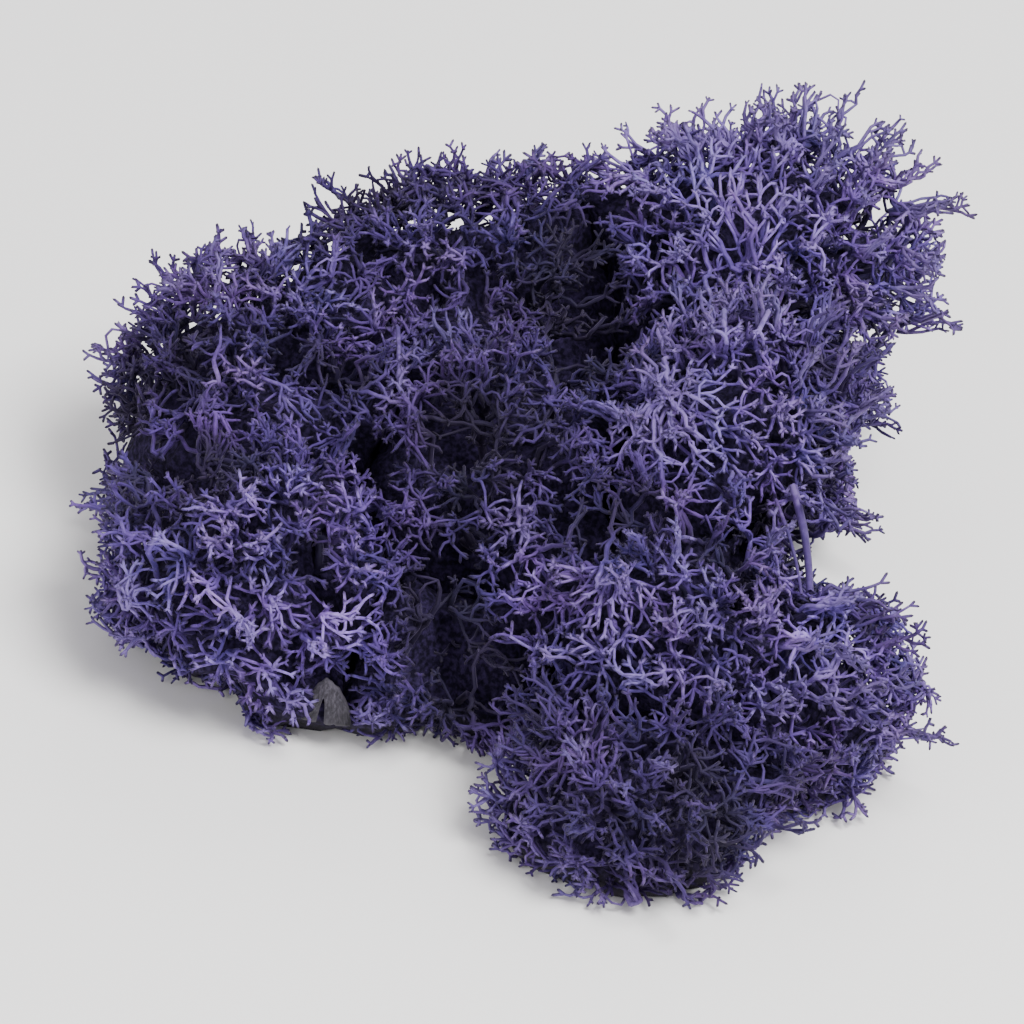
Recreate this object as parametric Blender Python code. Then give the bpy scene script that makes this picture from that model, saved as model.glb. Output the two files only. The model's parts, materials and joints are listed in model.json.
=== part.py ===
"""A clump of reindeer moss: ten tangled heads of forked stalks, and a flake of bark.

Metres, +Z up.  The clump rests on z = 0 and the middle of its footprint is the origin.
+X runs along its broad front and -Y faces the viewer.

Each head is one solid.  It starts as a small matted core on a flat foot, and every open
face of the core is drawn out into stalks that fork into pointed twigs, so that the twigs
cover the head.  Stalks follow rays that fan out from the head's upright axis, so they
never cross.  A head also keeps to a cell of its own, with flat walls between it and its
neighbours, so heads lie close against each other.
"""
import math
import random
from dataclasses import dataclass, field

import bmesh
import bpy
from mathutils import Matrix, Vector

# Name, middle, how far the twigs reach along X, Y and Z, and how light the dye is.
HEADS = (
    ("head_rear_left", (-0.034, 0.0135, 0.019), (0.022, 0.020, 0.020), 0.90),
    ("head_front_left", (-0.032, -0.0175, 0.015), (0.022, 0.019, 0.017), 1.05),
    ("head_rear_mid", (-0.009, 0.0305, 0.024), (0.023, 0.019, 0.023), 0.85),
    ("head_rear_right", (0.026, 0.0365, 0.034), (0.025, 0.022, 0.022), 1.00),
    ("head_mid_right", (0.026, 0.0010, 0.027), (0.019, 0.020, 0.024), 1.05),
    ("head_front_right", (0.024, -0.0255, 0.020), (0.021, 0.017, 0.019), 1.00),
    ("head_side_right", (0.040, -0.0215, 0.013), (0.016, 0.014, 0.013), 0.95),
    ("head_front_tip", (0.019, -0.0455, 0.010), (0.018, 0.013, 0.012), 0.90),
    ("head_centre", (-0.0035, 0.0010, 0.021), (0.020, 0.022, 0.019), 0.80),
    ("head_front_mid", (-0.007, -0.0215, 0.010), (0.016, 0.014, 0.012), 0.85),
)

# Below its middle a head narrows to this share of its reach at the ground.
GROUND_SHARE = 0.80
# Small rises and dips of a head's outline, as a share of its reach.
LOBE_DEPTH = 0.06
LOBE_WAVES = (5.0, 6.0, 4.0)
# How far the stalks at a head's middle point upwards, in degrees.
LIFT = 20.0
# The space left between a head and its neighbour.
GAP = 0.0003
# Halvings of a ray while its length is found, and the least closing of a ray on a wall.
HALVINGS = 24
LEAST_CLOSING = 1e-6

# The core: its share of the outline, how uneven it is, how far the points of its ball
# are shaken, and the level on that unit ball below which it becomes the flat foot.
CORE_SHARE = 0.52
CORE_UNEVEN = 0.08
CORE_SHAKE = 0.08
CORE_SUBDIVISIONS = 2
FOOT_LEVEL = -0.80
# Below this share of its middle's height a core spreads into a mat that meets its
# neighbours' mats.
MAT_TOP = 0.35
# Twigs reach past the outline by up to this factor to meet a neighbour, where the wall
# lies no further out than this factor of the neighbour's own outline.
MEETING_REACH = 1.40
MEETING_FILL = 1.25

# The thickness of the stalks, and where they fork, as shares of their height.  Stalks
# under the full height fork only once.
TRUNK_RADIUS = 0.0010
BRANCH_RADIUS = 0.0007
TRUNK_SHARE = 0.36
BRANCH_SHARE = 0.68
BRANCH_SCATTER = 0.08
LEAST_HEIGHT = 0.0050
LEAST_GROWTH = 0.0008
LEAST_GROUND = 0.0016
FULL_HEIGHT = 0.0085
TWO_FORK_CHANCE = 0.65
FORK_RISE = 0.0004
# How unevenly stalks share their face, how far tips draw together, and how far they
# fall short of the outline.
WAY_SCATTER = 0.30
WAY_PULL = 0.20
TIP_SHORTNESS = 0.24

# The bare straight stalk that stands out of the middle right head.
BARE_STALK_ROOT = Vector((0.0330, 0.0035, 0.0290))
BARE_STALK_TIP = Vector((0.0375, -0.0110, 0.0235))
BARE_STALK_RADIUS = 0.00055
BARE_STALK_TAPER = 0.8
BARE_STALK_SIDES = 5

# The flake of bark, a pinched arch with a slit, caught in the front left head.
FLAKE_MIDDLE = Vector((-0.0210, -0.0318, 0.0068))
FLAKE_WIDTH = 0.0050
FLAKE_HEIGHT = 0.0060
FLAKE_THICKNESS = 0.0014
FLAKE_CUP = 0.0018
FLAKE_SLIT = 0.0012
FLAKE_SLIT_TOP = 0.62
FLAKE_STEPS = 12
FLAKE_LEAN = 28.0
FLAKE_ROOM = 0.0044

MOSS_COLOUR = (0.170, 0.125, 0.400)
MOSS_ROUGHNESS = 0.85
BARK_COLOUR = (0.115, 0.105, 0.100)
BARK_ROUGHNESS = 0.80
SHARP_ANGLE = math.radians(30.0)


@dataclass
class Wall:
    """A flat side of a cell: the head stays where normal . point <= distance."""

    normal: Vector
    distance: float
    other: object


@dataclass
class Head:
    """One tuft: its place, how far its twigs reach, and the walls of its cell."""

    name: str
    middle: Vector
    reach: Vector
    lightness: float
    number: int
    walls: list = field(default_factory=list)

    def fill(self, point):
        """How far out a point lies: 0 on the axis and 1 on the outline."""
        across_x = (point.x - self.middle.x) / self.reach.x
        across_y = (point.y - self.middle.y) / self.reach.y
        rise = point.z - self.middle.z
        if rise < 0.0:
            drop = rise / self.middle.z
            narrowing = 1.0 - (1.0 - GROUND_SHARE) * drop * drop
            plain = math.hypot(across_x, across_y) / narrowing
        else:
            plain = math.hypot(across_x, across_y, rise / self.reach.z)
        wave = 1.0
        for part, count in zip((point - self.middle).normalized(), LOBE_WAVES):
            wave *= math.cos(count * part + self.number)
        return plain / (1.0 + LOBE_DEPTH * wave)

    def ray(self, way):
        """Where the stalks of a way on the unit sphere start, and their direction.

        Ways above the equator start from the middle and fan out over the dome.  Those
        below it start from the axis under the middle, down to the ground.  The equator
        lies where dome and side get their fair share of the sphere.
        """
        flat = Vector((way.x, way.y, 0.0)).normalized()
        lift = math.radians(LIFT)
        ratio = self.middle.z / self.reach.z
        equator = (ratio + FOOT_LEVEL) / (1.0 + ratio)
        if way.z >= equator:
            start = self.middle.copy()
            climb = math.asin(min((way.z - equator) / (1.0 - equator), 1.0))
            slope = lift + climb * (1.0 - lift / (math.pi / 2.0))
        else:
            level = max((way.z - FOOT_LEVEL) / (equator - FOOT_LEVEL), 0.0)
            start = Vector((self.middle.x, self.middle.y, self.middle.z * level))
            slope = lift * level
        return start, flat * math.cos(slope) + Vector((0.0, 0.0, math.sin(slope)))

    def distance(self, start, direction, share):
        """How far along a ray the head is filled to a share of its outline."""
        near = 0.0
        far = 2.0 * max(self.reach)
        for _ in range(HALVINGS):
            middle = (near + far) / 2.0
            if self.fill(start + direction * middle) < share:
                near = middle
            else:
                far = middle
        return near

    def wall_ahead(self, start, direction, margin):
        """How far along a ray the first wall is, less a margin, and that wall."""
        room = math.inf
        first = None
        for wall in self.walls:
            closing = wall.normal.dot(direction)
            if closing > LEAST_CLOSING:
                gap = wall.distance - margin - wall.normal.dot(start)
                if gap / closing < room:
                    room = gap / closing
                    first = wall
        return room, first

    def reach_of(self, start, direction):
        """How far the twigs on a ray reach: to the outline, or on to a near neighbour."""
        outline = self.distance(start, direction, 1.0)
        room, wall = self.wall_ahead(start, direction, 0.0)
        if wall and outline < room < outline * MEETING_REACH:
            if wall.other.fill(start + direction * room) < MEETING_FILL:
                return room
        return outline

    def room(self, start, direction, margin):
        """How far along a ray a stalk can run, clear of the walls and of the flake."""
        room, _ = self.wall_ahead(start, direction, margin)
        to_flake = FLAKE_MIDDLE - start
        along = to_flake.dot(direction)
        deep = (FLAKE_ROOM + margin) ** 2 - (to_flake.length_squared - along ** 2)
        if along > 0.0 and deep > 0.0:
            room = min(room, along - math.sqrt(deep))
        return room

    def core_point(self, way, uneven):
        """The core's point on a way; the lowest ways make the flat foot."""
        start, direction = self.ray(way)
        distance = self.distance(start, direction, CORE_SHARE * uneven)
        room = self.room(start, direction, 0.0)
        meets = self.reach_of(start, direction) >= room
        low = start.z < self.middle.z * MAT_TOP
        distance = room if low and meets else min(distance, room)
        if way.z < FOOT_LEVEL:
            start.z = 0.0
            distance *= math.sqrt((1.0 - way.z ** 2) / (1.0 - FOOT_LEVEL ** 2))
        return start + direction * distance


def plain_reach(head, direction):
    """A head's reach along a direction, without its lobes."""
    return 1.0 / math.hypot(*(part / reach for part, reach in zip(direction, head.reach)))


def wall_between(head, other):
    """The head's wall towards another, where the two outlines would cross."""
    apart = other.middle - head.middle
    distance = apart.length
    normal = apart / distance
    own = plain_reach(head, normal)
    theirs = plain_reach(other, normal)
    share = (distance ** 2 + own ** 2 - theirs ** 2) / (2.0 * distance)
    return Wall(normal, normal.dot(head.middle) + share - GAP / 2.0, other)


def make_heads():
    """The ten heads, each with its cell's walls."""
    heads = []
    for number, (name, middle, reach, lightness) in enumerate(HEADS):
        heads.append(Head(name, Vector(middle), Vector(reach), lightness, number))
    for head in heads:
        head.walls = [wall_between(head, other) for other in heads if other is not head]
    return heads


def clear_scene():
    """Remove every object."""
    for thing in list(bpy.data.objects):
        bpy.data.objects.remove(thing, do_unlink=True)


def make_material(name, colour, lightness, roughness):
    """A plain Principled material."""
    material = bpy.data.materials.new(name)
    material.use_nodes = True
    shader = material.node_tree.nodes["Principled BSDF"]
    shader.inputs["Base Color"].default_value = (*(part * lightness for part in colour), 1.0)
    shader.inputs["Roughness"].default_value = roughness
    shader.inputs["Metallic"].default_value = 0.0
    return material


def add_object(name, bm):
    """Turn a bmesh into an object of the scene."""
    mesh = bpy.data.meshes.new(name)
    bm.to_mesh(mesh)
    bm.free()
    made = bpy.data.objects.new(name, mesh)
    bpy.context.scene.collection.objects.link(made)
    return made


class Growth:
    """The mesh of one head while it grows.

    Every point of the mesh remembers its way on the unit sphere, and a face grows along
    the ray in the middle of its corners' ways.
    """

    def __init__(self, head):
        self.head = head
        self.draw = random.Random(head.number)
        self.bm = bmesh.new()
        self.ways = {}

    def make_core(self):
        """Make the core from a turned and shaken ball of triangles."""
        turn = Matrix.Rotation(self.draw.uniform(0.0, math.pi), 4, "Z")
        turn = turn @ Matrix.Rotation(self.draw.uniform(0.0, math.pi), 4, "X")
        bmesh.ops.create_icosphere(
            self.bm, subdivisions=CORE_SUBDIVISIONS, radius=1.0, matrix=turn
        )
        for vert in self.bm.verts:
            shake = Vector([self.draw.uniform(-CORE_SHAKE, CORE_SHAKE) for _ in range(3)])
            way = (vert.co + shake).normalized()
            self.ways[vert] = way
            uneven = 1.0 + self.draw.uniform(-CORE_UNEVEN, CORE_UNEVEN)
            vert.co = self.head.core_point(way, uneven)

    def way_of(self, face, pull):
        """A way between those of a face's corners, drawn towards another way if given."""
        weights = [1.0 + self.draw.uniform(-WAY_SCATTER, WAY_SCATTER) for _ in face.verts]
        way = Vector()
        for vert, weight in zip(face.verts, weights):
            way += self.ways[vert] * weight
        way.normalize()
        return way.lerp(pull, WAY_PULL).normalized() if pull else way

    def end_of(self, way, share, margin):
        """The point on a way at a share of the height between core and outline."""
        start, direction = self.head.ray(way)
        inner = self.head.distance(start, direction, CORE_SHARE)
        outer = self.head.reach_of(start, direction)
        wanted = inner + (outer - inner) * share
        return start + direction * min(wanted, self.head.room(start, direction, margin))

    def fork(self, face):
        """Split a face in three round a raised middle."""
        way = self.way_of(face, None)
        made = bmesh.ops.poke(self.bm, faces=[face], offset=FORK_RISE)
        self.ways[made["verts"][0]] = way
        return way, made["faces"]

    def grow_stalk(self, face, end, radius):
        """Draw a face out into a stalk and return the face at its end."""
        start = face.calc_center_median()
        along = (end - start).normalized()
        near = list(face.verts)
        far = bmesh.ops.extrude_discrete_faces(self.bm, faces=[face])["faces"][0]
        for vert in far.verts:
            source = min(near, key=lambda old: (old.co - vert.co).length_squared)
            self.ways[vert] = self.ways[source]
        for vert in far.verts:
            offset = vert.co - start
            across = offset - along * offset.dot(along)
            vert.co = end + across.normalized() * radius
        return far

    def grow_tips(self, face):
        """Draw the three parts of a stalk's end out to points."""
        start = face.calc_center_median()
        ahead = (start - self.head.middle).normalized()
        way, parts = self.fork(face)
        for part in parts:
            share = 1.0 - self.draw.uniform(0.0, TIP_SHORTNESS)
            end = self.end_of(self.way_of(part, way), share, 0.0)
            if (end - start).dot(ahead) > LEAST_GROWTH:
                point = bmesh.ops.poke(self.bm, faces=[part])["verts"][0]
                point.co = end

    def grow_face(self, face):
        """Grow the stalks of one face of the core."""
        way = self.way_of(face, None)
        root = face.calc_center_median()
        split = self.end_of(way, TRUNK_SHARE, TRUNK_RADIUS)
        crest = self.end_of(way, 1.0, 0.0)
        height = (crest - root).length
        if height < LEAST_HEIGHT or split.z < LEAST_GROUND:
            return
        if height < FULL_HEIGHT:
            split = self.end_of(way, (TRUNK_SHARE + BRANCH_SHARE) / 2.0, TRUNK_RADIUS)
            self.grow_tips(self.grow_stalk(face, split, BRANCH_RADIUS))
            return
        trunk = self.grow_stalk(face, split, TRUNK_RADIUS)
        _, parts = self.fork(trunk)
        if self.draw.random() < TWO_FORK_CHANCE:
            parts.pop(self.draw.randrange(len(parts)))
        for part in parts:
            share = BRANCH_SHARE + self.draw.uniform(-BRANCH_SCATTER, BRANCH_SCATTER)
            end = self.end_of(self.way_of(part, None), share, BRANCH_RADIUS)
            if (end - split).dot(crest - root) > 0.0 and end.z > LEAST_GROUND:
                self.grow_tips(self.grow_stalk(part, end, BRANCH_RADIUS))

    def grow(self):
        """Grow the whole head and return its mesh."""
        self.make_core()
        for face in list(self.bm.faces):
            if any(vert.co.z > 0.0 for vert in face.verts):
                self.grow_face(face)
        return self.bm


def add_bare_stalk(head_object):
    """Fuse the straight stalk that carries no twigs to its head."""
    bm = bmesh.new()
    along = BARE_STALK_TIP - BARE_STALK_ROOT
    turn = along.to_track_quat("Z", "Y").to_matrix().to_4x4()
    bmesh.ops.create_cone(
        bm,
        cap_ends=True,
        segments=BARE_STALK_SIDES,
        radius1=BARE_STALK_RADIUS,
        radius2=BARE_STALK_RADIUS * BARE_STALK_TAPER,
        depth=along.length,
        matrix=Matrix.Translation((BARE_STALK_ROOT + BARE_STALK_TIP) / 2.0) @ turn,
    )
    stalk = add_object("bare_stalk", bm)
    union = head_object.modifiers.new("union", "BOOLEAN")
    union.operation = "UNION"
    union.solver = "MANIFOLD"
    union.object = stalk
    joined = bpy.data.meshes.new_from_object(
        head_object.evaluated_get(bpy.context.evaluated_depsgraph_get())
    )
    joined.materials.clear()
    head_object.modifiers.remove(union)
    head_object.data = joined
    bpy.data.objects.remove(stalk, do_unlink=True)


def build_head(head):
    """Build one head as a single closed solid."""
    made = add_object(head.name, Growth(head).grow())
    if head.name == "head_mid_right":
        add_bare_stalk(made)
    made.data.name = head.name
    made.data.shade_smooth()
    made.data.set_sharp_from_angle(angle=SHARP_ANGLE)
    material = make_material(head.name, MOSS_COLOUR, head.lightness, MOSS_ROUGHNESS)
    made.data.materials.append(material)


def flake_outline():
    """The arch's outline: over its outside, and back down inside the slit."""
    half = FLAKE_WIDTH / 2.0
    points = []
    for step in range(FLAKE_STEPS + 1):
        turn = math.pi * step / FLAKE_STEPS
        points.append((-half * math.cos(turn), FLAKE_HEIGHT * math.sin(turn)))
    slit = FLAKE_SLIT / 2.0
    points += [(slit, 0.0), (0.0, FLAKE_HEIGHT * FLAKE_SLIT_TOP), (-slit, 0.0)]
    return points


def build_flake():
    """Build the flake of bark, cupped from side to side and leaning back."""
    bm = bmesh.new()
    half = FLAKE_WIDTH / 2.0
    front = []
    back = []
    for across, height in flake_outline():
        cup = FLAKE_CUP * ((across / half) ** 2 - 0.5)
        front.append(bm.verts.new((across, cup - FLAKE_THICKNESS / 2.0, height)))
        back.append(bm.verts.new((across, cup + FLAKE_THICKNESS / 2.0, height)))
    bm.faces.new(front)
    bm.faces.new(list(reversed(back)))
    for index, vert in enumerate(front):
        after = (index + 1) % len(front)
        bm.faces.new((front[after], vert, back[index], back[after]))
    lean = Matrix.Rotation(math.radians(-FLAKE_LEAN), 4, "X")
    lift = Matrix.Translation(Vector((0.0, 0.0, -FLAKE_HEIGHT / 2.0)))
    place = Matrix.Translation(FLAKE_MIDDLE) @ lean @ lift
    bmesh.ops.transform(bm, matrix=place, verts=bm.verts)
    bmesh.ops.recalc_face_normals(bm, faces=bm.faces)
    flake = add_object("bark_flake", bm)
    flake.data.materials.append(make_material("bark_flake", BARK_COLOUR, 1.0, BARK_ROUGHNESS))


def main():
    """Build the clump."""
    clear_scene()
    for head in make_heads():
        build_head(head)
    build_flake()


main()
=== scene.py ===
"""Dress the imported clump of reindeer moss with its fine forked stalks.

Metres, +Z up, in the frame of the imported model: the clump rests on z = 0, +X runs along
its broad front and -Y faces the viewer.

Each of the ten heads is grown from its outside inwards.  Twig ends are scattered over the
head's outline, neighbouring ends are joined in twos and threes to forks under them, those
forks are joined in the same way, and so on down to the head's root.  Geometry Nodes then
draw round stalks along these paths and put a small crown of spikes on every end.
"""
import json
import logging
import math
import random
from dataclasses import dataclass, field
from enum import Enum
from typing import Any

import bmesh
import bpy
import numpy as np
from mathutils import Matrix, Vector, kdtree, noise

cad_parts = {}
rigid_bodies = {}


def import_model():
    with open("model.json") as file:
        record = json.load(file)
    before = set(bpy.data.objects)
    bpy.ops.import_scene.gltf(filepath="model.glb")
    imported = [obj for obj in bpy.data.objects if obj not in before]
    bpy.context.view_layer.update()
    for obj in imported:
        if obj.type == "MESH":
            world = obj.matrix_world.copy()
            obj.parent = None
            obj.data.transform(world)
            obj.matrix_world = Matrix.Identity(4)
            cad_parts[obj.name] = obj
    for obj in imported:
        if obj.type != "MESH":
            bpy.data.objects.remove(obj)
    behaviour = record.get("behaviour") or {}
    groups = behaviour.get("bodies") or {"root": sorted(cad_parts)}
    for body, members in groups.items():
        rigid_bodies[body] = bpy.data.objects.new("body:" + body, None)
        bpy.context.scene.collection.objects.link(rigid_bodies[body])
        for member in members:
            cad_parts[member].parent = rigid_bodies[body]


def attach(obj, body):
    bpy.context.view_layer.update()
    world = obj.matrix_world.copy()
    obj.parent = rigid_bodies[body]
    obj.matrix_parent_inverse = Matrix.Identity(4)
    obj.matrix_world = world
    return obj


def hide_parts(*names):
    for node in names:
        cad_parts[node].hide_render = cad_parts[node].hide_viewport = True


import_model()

LOG = logging.getLogger("reindeer_moss_clump")
Array = np.ndarray
Colour = tuple[float, float, float, float]
Triple = tuple[float, float, float]
Range = tuple[float, float, float, float]
Socket = bpy.types.NodeSocket
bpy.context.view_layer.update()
MM = 0.001
CROWN_SEED = 7
RANGE_INPUTS = ("From Min", "From Max", "To Min", "To Max")

# The numbers of sockets that share their names with others of their node.
MIX_SHARE, MIX_A, MIX_B, MIX_RESULT = 0, 6, 7, 2
FLOAT_MIN, FLOAT_MAX, INT_MIN, INT_MAX = 2, 3, 4, 5
FLOAT_VALUE, INT_VALUE = 1, 2


def srgb(text: str) -> Colour:
    """Turn an sRGB colour into the linear one that shaders use.

    Args:
        text: The colour as six hexadecimal digits.

    Returns:
        The linear red, green and blue, and full alpha.
    """
    parts = [int(text[place:place + 2], 16) / 255.0 for place in (0, 2, 4)]
    red, green, blue = (
        part / 12.92 if part <= 0.04045 else ((part + 0.055) / 1.055) ** 2.4
        for part in parts
    )
    return (red, green, blue, 1.0)


def wire(
    tree: bpy.types.NodeTree,
    node: bpy.types.Node,
    links: dict[Any, Socket] | None = None,
    values: dict[Any, Any] | None = None,
) -> bpy.types.Node:
    """Give a node's inputs their fixed values and their links.

    Args:
        tree: The shader or geometry tree.
        node: The node.
        links: Input names or numbers, and the sockets that feed them.
        values: Input names or numbers, and their fixed values.

    Returns:
        The node.
    """
    for socket, value in (values or {}).items():
        node.inputs[socket].default_value = value
    for socket, source in (links or {}).items():
        tree.links.new(source, node.inputs[socket])
    return node


def add_node(
    tree: bpy.types.NodeTree,
    kind: str,
    links: dict[Any, Socket] | None = None,
    values: dict[Any, Any] | None = None,
    **settings: Any,
) -> bpy.types.Node:
    """Add a node to a tree, with its settings, values and links.

    Args:
        tree: The shader or geometry tree.
        kind: The node's type name.
        links: Input names or numbers, and the sockets that feed them.
        values: Input names or numbers, and their fixed values.
        settings: The node's own properties.

    Returns:
        The new node.
    """
    node = tree.nodes.new(kind)
    for name, value in settings.items():
        setattr(node, name, value)
    return wire(tree, node, links, values)


def add_ramp(
    tree: bpy.types.NodeTree, source: Socket, stops: tuple[tuple[float, Colour], ...]
) -> Socket:
    """Add a colour ramp and return its colour.

    Args:
        tree: The shader tree.
        source: The value that picks the colour.
        stops: Places between 0 and 1 and their colours, in order.

    Returns:
        The ramp's colour output.
    """
    node = add_node(tree, "ShaderNodeValToRGB", {"Fac": source})
    ramp = node.color_ramp
    ramp.elements[0].position, ramp.elements[0].color = stops[0]
    ramp.elements[1].position, ramp.elements[1].color = stops[-1]
    for place, colour in stops[1:-1]:
        ramp.elements.new(place).color = colour
    return node.outputs["Color"]


def new_material(name: str) -> tuple[bpy.types.Material, bpy.types.NodeTree, bpy.types.Node]:
    """Make a material and return it with its tree and its Principled shader.

    Args:
        name: The material's name.

    Returns:
        The material, its node tree and its shader.
    """
    material = bpy.data.materials.new(name)
    material.use_nodes = True
    tree = material.node_tree
    return material, tree, tree.nodes["Principled BSDF"]


def add_object(name: str, data: Any) -> bpy.types.Object:
    """Put an object with the given data into the scene.

    Args:
        name: The object's name.
        data: Its mesh, light or camera.

    Returns:
        The new object.
    """
    made = bpy.data.objects.new(name, data)
    bpy.context.scene.collection.objects.link(made)
    return made


def remove_object(made: bpy.types.Object) -> None:
    """Remove an object and its mesh."""
    mesh = made.data
    bpy.data.objects.remove(made, do_unlink=True)
    bpy.data.meshes.remove(mesh)


def store(
    mesh: bpy.types.Mesh, name: str, values: Any, kind: str = "FLOAT", part: str = "value"
) -> None:
    """Store a value for each point of a mesh.

    Args:
        mesh: The mesh.
        name: The value's name.
        values: The values.
        kind: Their type.
        part: The part of the attribute's data that they go to.
    """
    mesh.attributes.new(name, kind, "POINT").data.foreach_set(part, values)


@dataclass(frozen=True)
class HeadSize:
    """Where a head stands, how far its twigs reach, its painted light and shade, and its texture.
    """

    name: str
    middle: Triple
    reach: Triple
    # Painted light and shade: above 1 the head's colour is lightened where light falls, below 1
    # darkened where shade falls.
    painted_lightness: float
    coarseness: float = 1.0


# The fourth number of each head is its painted light and shade.
HEAD_SIZES = (
    HeadSize("head_rear_left", (-0.034, 0.0135, 0.019), (0.022, 0.020, 0.020), 0.90),
    HeadSize("head_front_left", (-0.032, -0.0175, 0.015), (0.022, 0.019, 0.017), 1.24),
    HeadSize("head_rear_mid", (-0.009, 0.0305, 0.024), (0.023, 0.019, 0.023), 0.85),
    HeadSize("head_rear_right", (0.026, 0.0365, 0.034), (0.025, 0.022, 0.022), 1.21, 1.06),
    HeadSize("head_mid_right", (0.026, 0.0010, 0.027), (0.019, 0.020, 0.024), 1.05),
    HeadSize("head_front_right", (0.024, -0.0255, 0.020), (0.021, 0.017, 0.019), 1.12),
    HeadSize("head_side_right", (0.040, -0.0215, 0.013), (0.016, 0.014, 0.013), 1.12),
    HeadSize("head_front_tip", (0.019, -0.0455, 0.010), (0.018, 0.013, 0.012), 0.80),
    HeadSize("head_centre", (-0.0035, 0.0010, 0.021), (0.020, 0.022, 0.019), 0.80),
    HeadSize("head_front_mid", (-0.007, -0.0215, 0.010), (0.016, 0.014, 0.012), 0.85),
)


@dataclass(frozen=True)
class Viewpoint:
    """The camera, at the photograph's viewing angle and close enough to fill the frame."""

    place: Triple = (0.0, -0.94271, 0.70419)
    aim: Triple = (-0.0009, -0.0075, 0.0227)
    roll: float = math.radians(8.7)
    lens: float = 316.5
    sensor: float = 36.0
    clips: tuple[float, float] = (0.05, 20.0)

    def turn(self) -> Matrix:
        """The camera's turn, with X to the right of the view, Y up it and Z out of it."""
        aim = Vector(self.aim) - Vector(self.place)
        level = aim.to_track_quat("-Z", "Y").to_matrix()
        return level @ Matrix.Rotation(self.roll, 3, "Z")

    def flatten(self, points: Array) -> Array:
        """Say how far right of the view's middle and how far up it points lie.

        Args:
            points: Points, one a row.

        Returns:
            Two lengths for each point, as large as they are at the clump's middle.
        """
        offsets = (points - np.array(self.place)) @ np.array(self.turn())
        distance = (Vector(self.aim) - Vector(self.place)).length
        return offsets[:, :2] * (distance / -offsets[:, 2])[:, None]

    def sight(self, right: float, up: float) -> tuple[Array, Array]:
        """Find the line of sight through a place in the view.

        Args:
            right: How far right of the view's middle it lies.
            up: How far up it lies.

        Returns:
            The point of the line beside the aim, and the line's direction.
        """
        turn = np.array(self.turn())
        point = np.array(self.aim) + turn[:, 0] * right + turn[:, 1] * up
        direction = point - np.array(self.place)
        return point, direction / np.linalg.norm(direction)

    def build(self) -> bpy.types.Object:
        """Build the camera and make it the scene's."""
        data = bpy.data.cameras.new("camera")
        data.lens = self.lens
        data.sensor_width = self.sensor
        data.clip_start, data.clip_end = self.clips
        camera = add_object("camera", data)
        camera.matrix_world = Matrix.Translation(self.place) @ self.turn().to_4x4()
        bpy.context.scene.camera = camera
        return camera


class Mark(Enum):
    """What is special about a place on the clump."""

    HOLLOW = "no twigs grow here, so the dark inside shows"
    DENT = "the outside is sunk"
    RISE = "the outside stands out"
    GAP = "nothing grows here, right through the clump"
    CLEAR = "no twig ends hide what is behind"
    # Painted shade: the nearly black core shows at the outside, as a dark rim at the foot.
    MAT = "the matted inside reaches the outside"
    THIN = "the matted inside keeps out of sight"
    # Painted shade: the twigs' colour is darkened where shade falls.
    SHADE = "the twigs are dark"
    # Painted light: the twigs' colour is lightened where light falls.
    GLOW = "the twigs are pale"
    STAR = "long pale stalks spread from here"


@dataclass(frozen=True)
class Spot:
    """A marked place, by how far right and up it lies in the front view, in millimetres.

    The stalks of a star lean: they spread round a place that much further right and up.
    MARKED_PLACES lists the fields after the mark, for each mark.
    """

    mark: Mark
    right: float
    up: float
    size: float
    strength: float = 1.0
    lean: tuple[float, float] = (0.0, 0.0)


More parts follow.
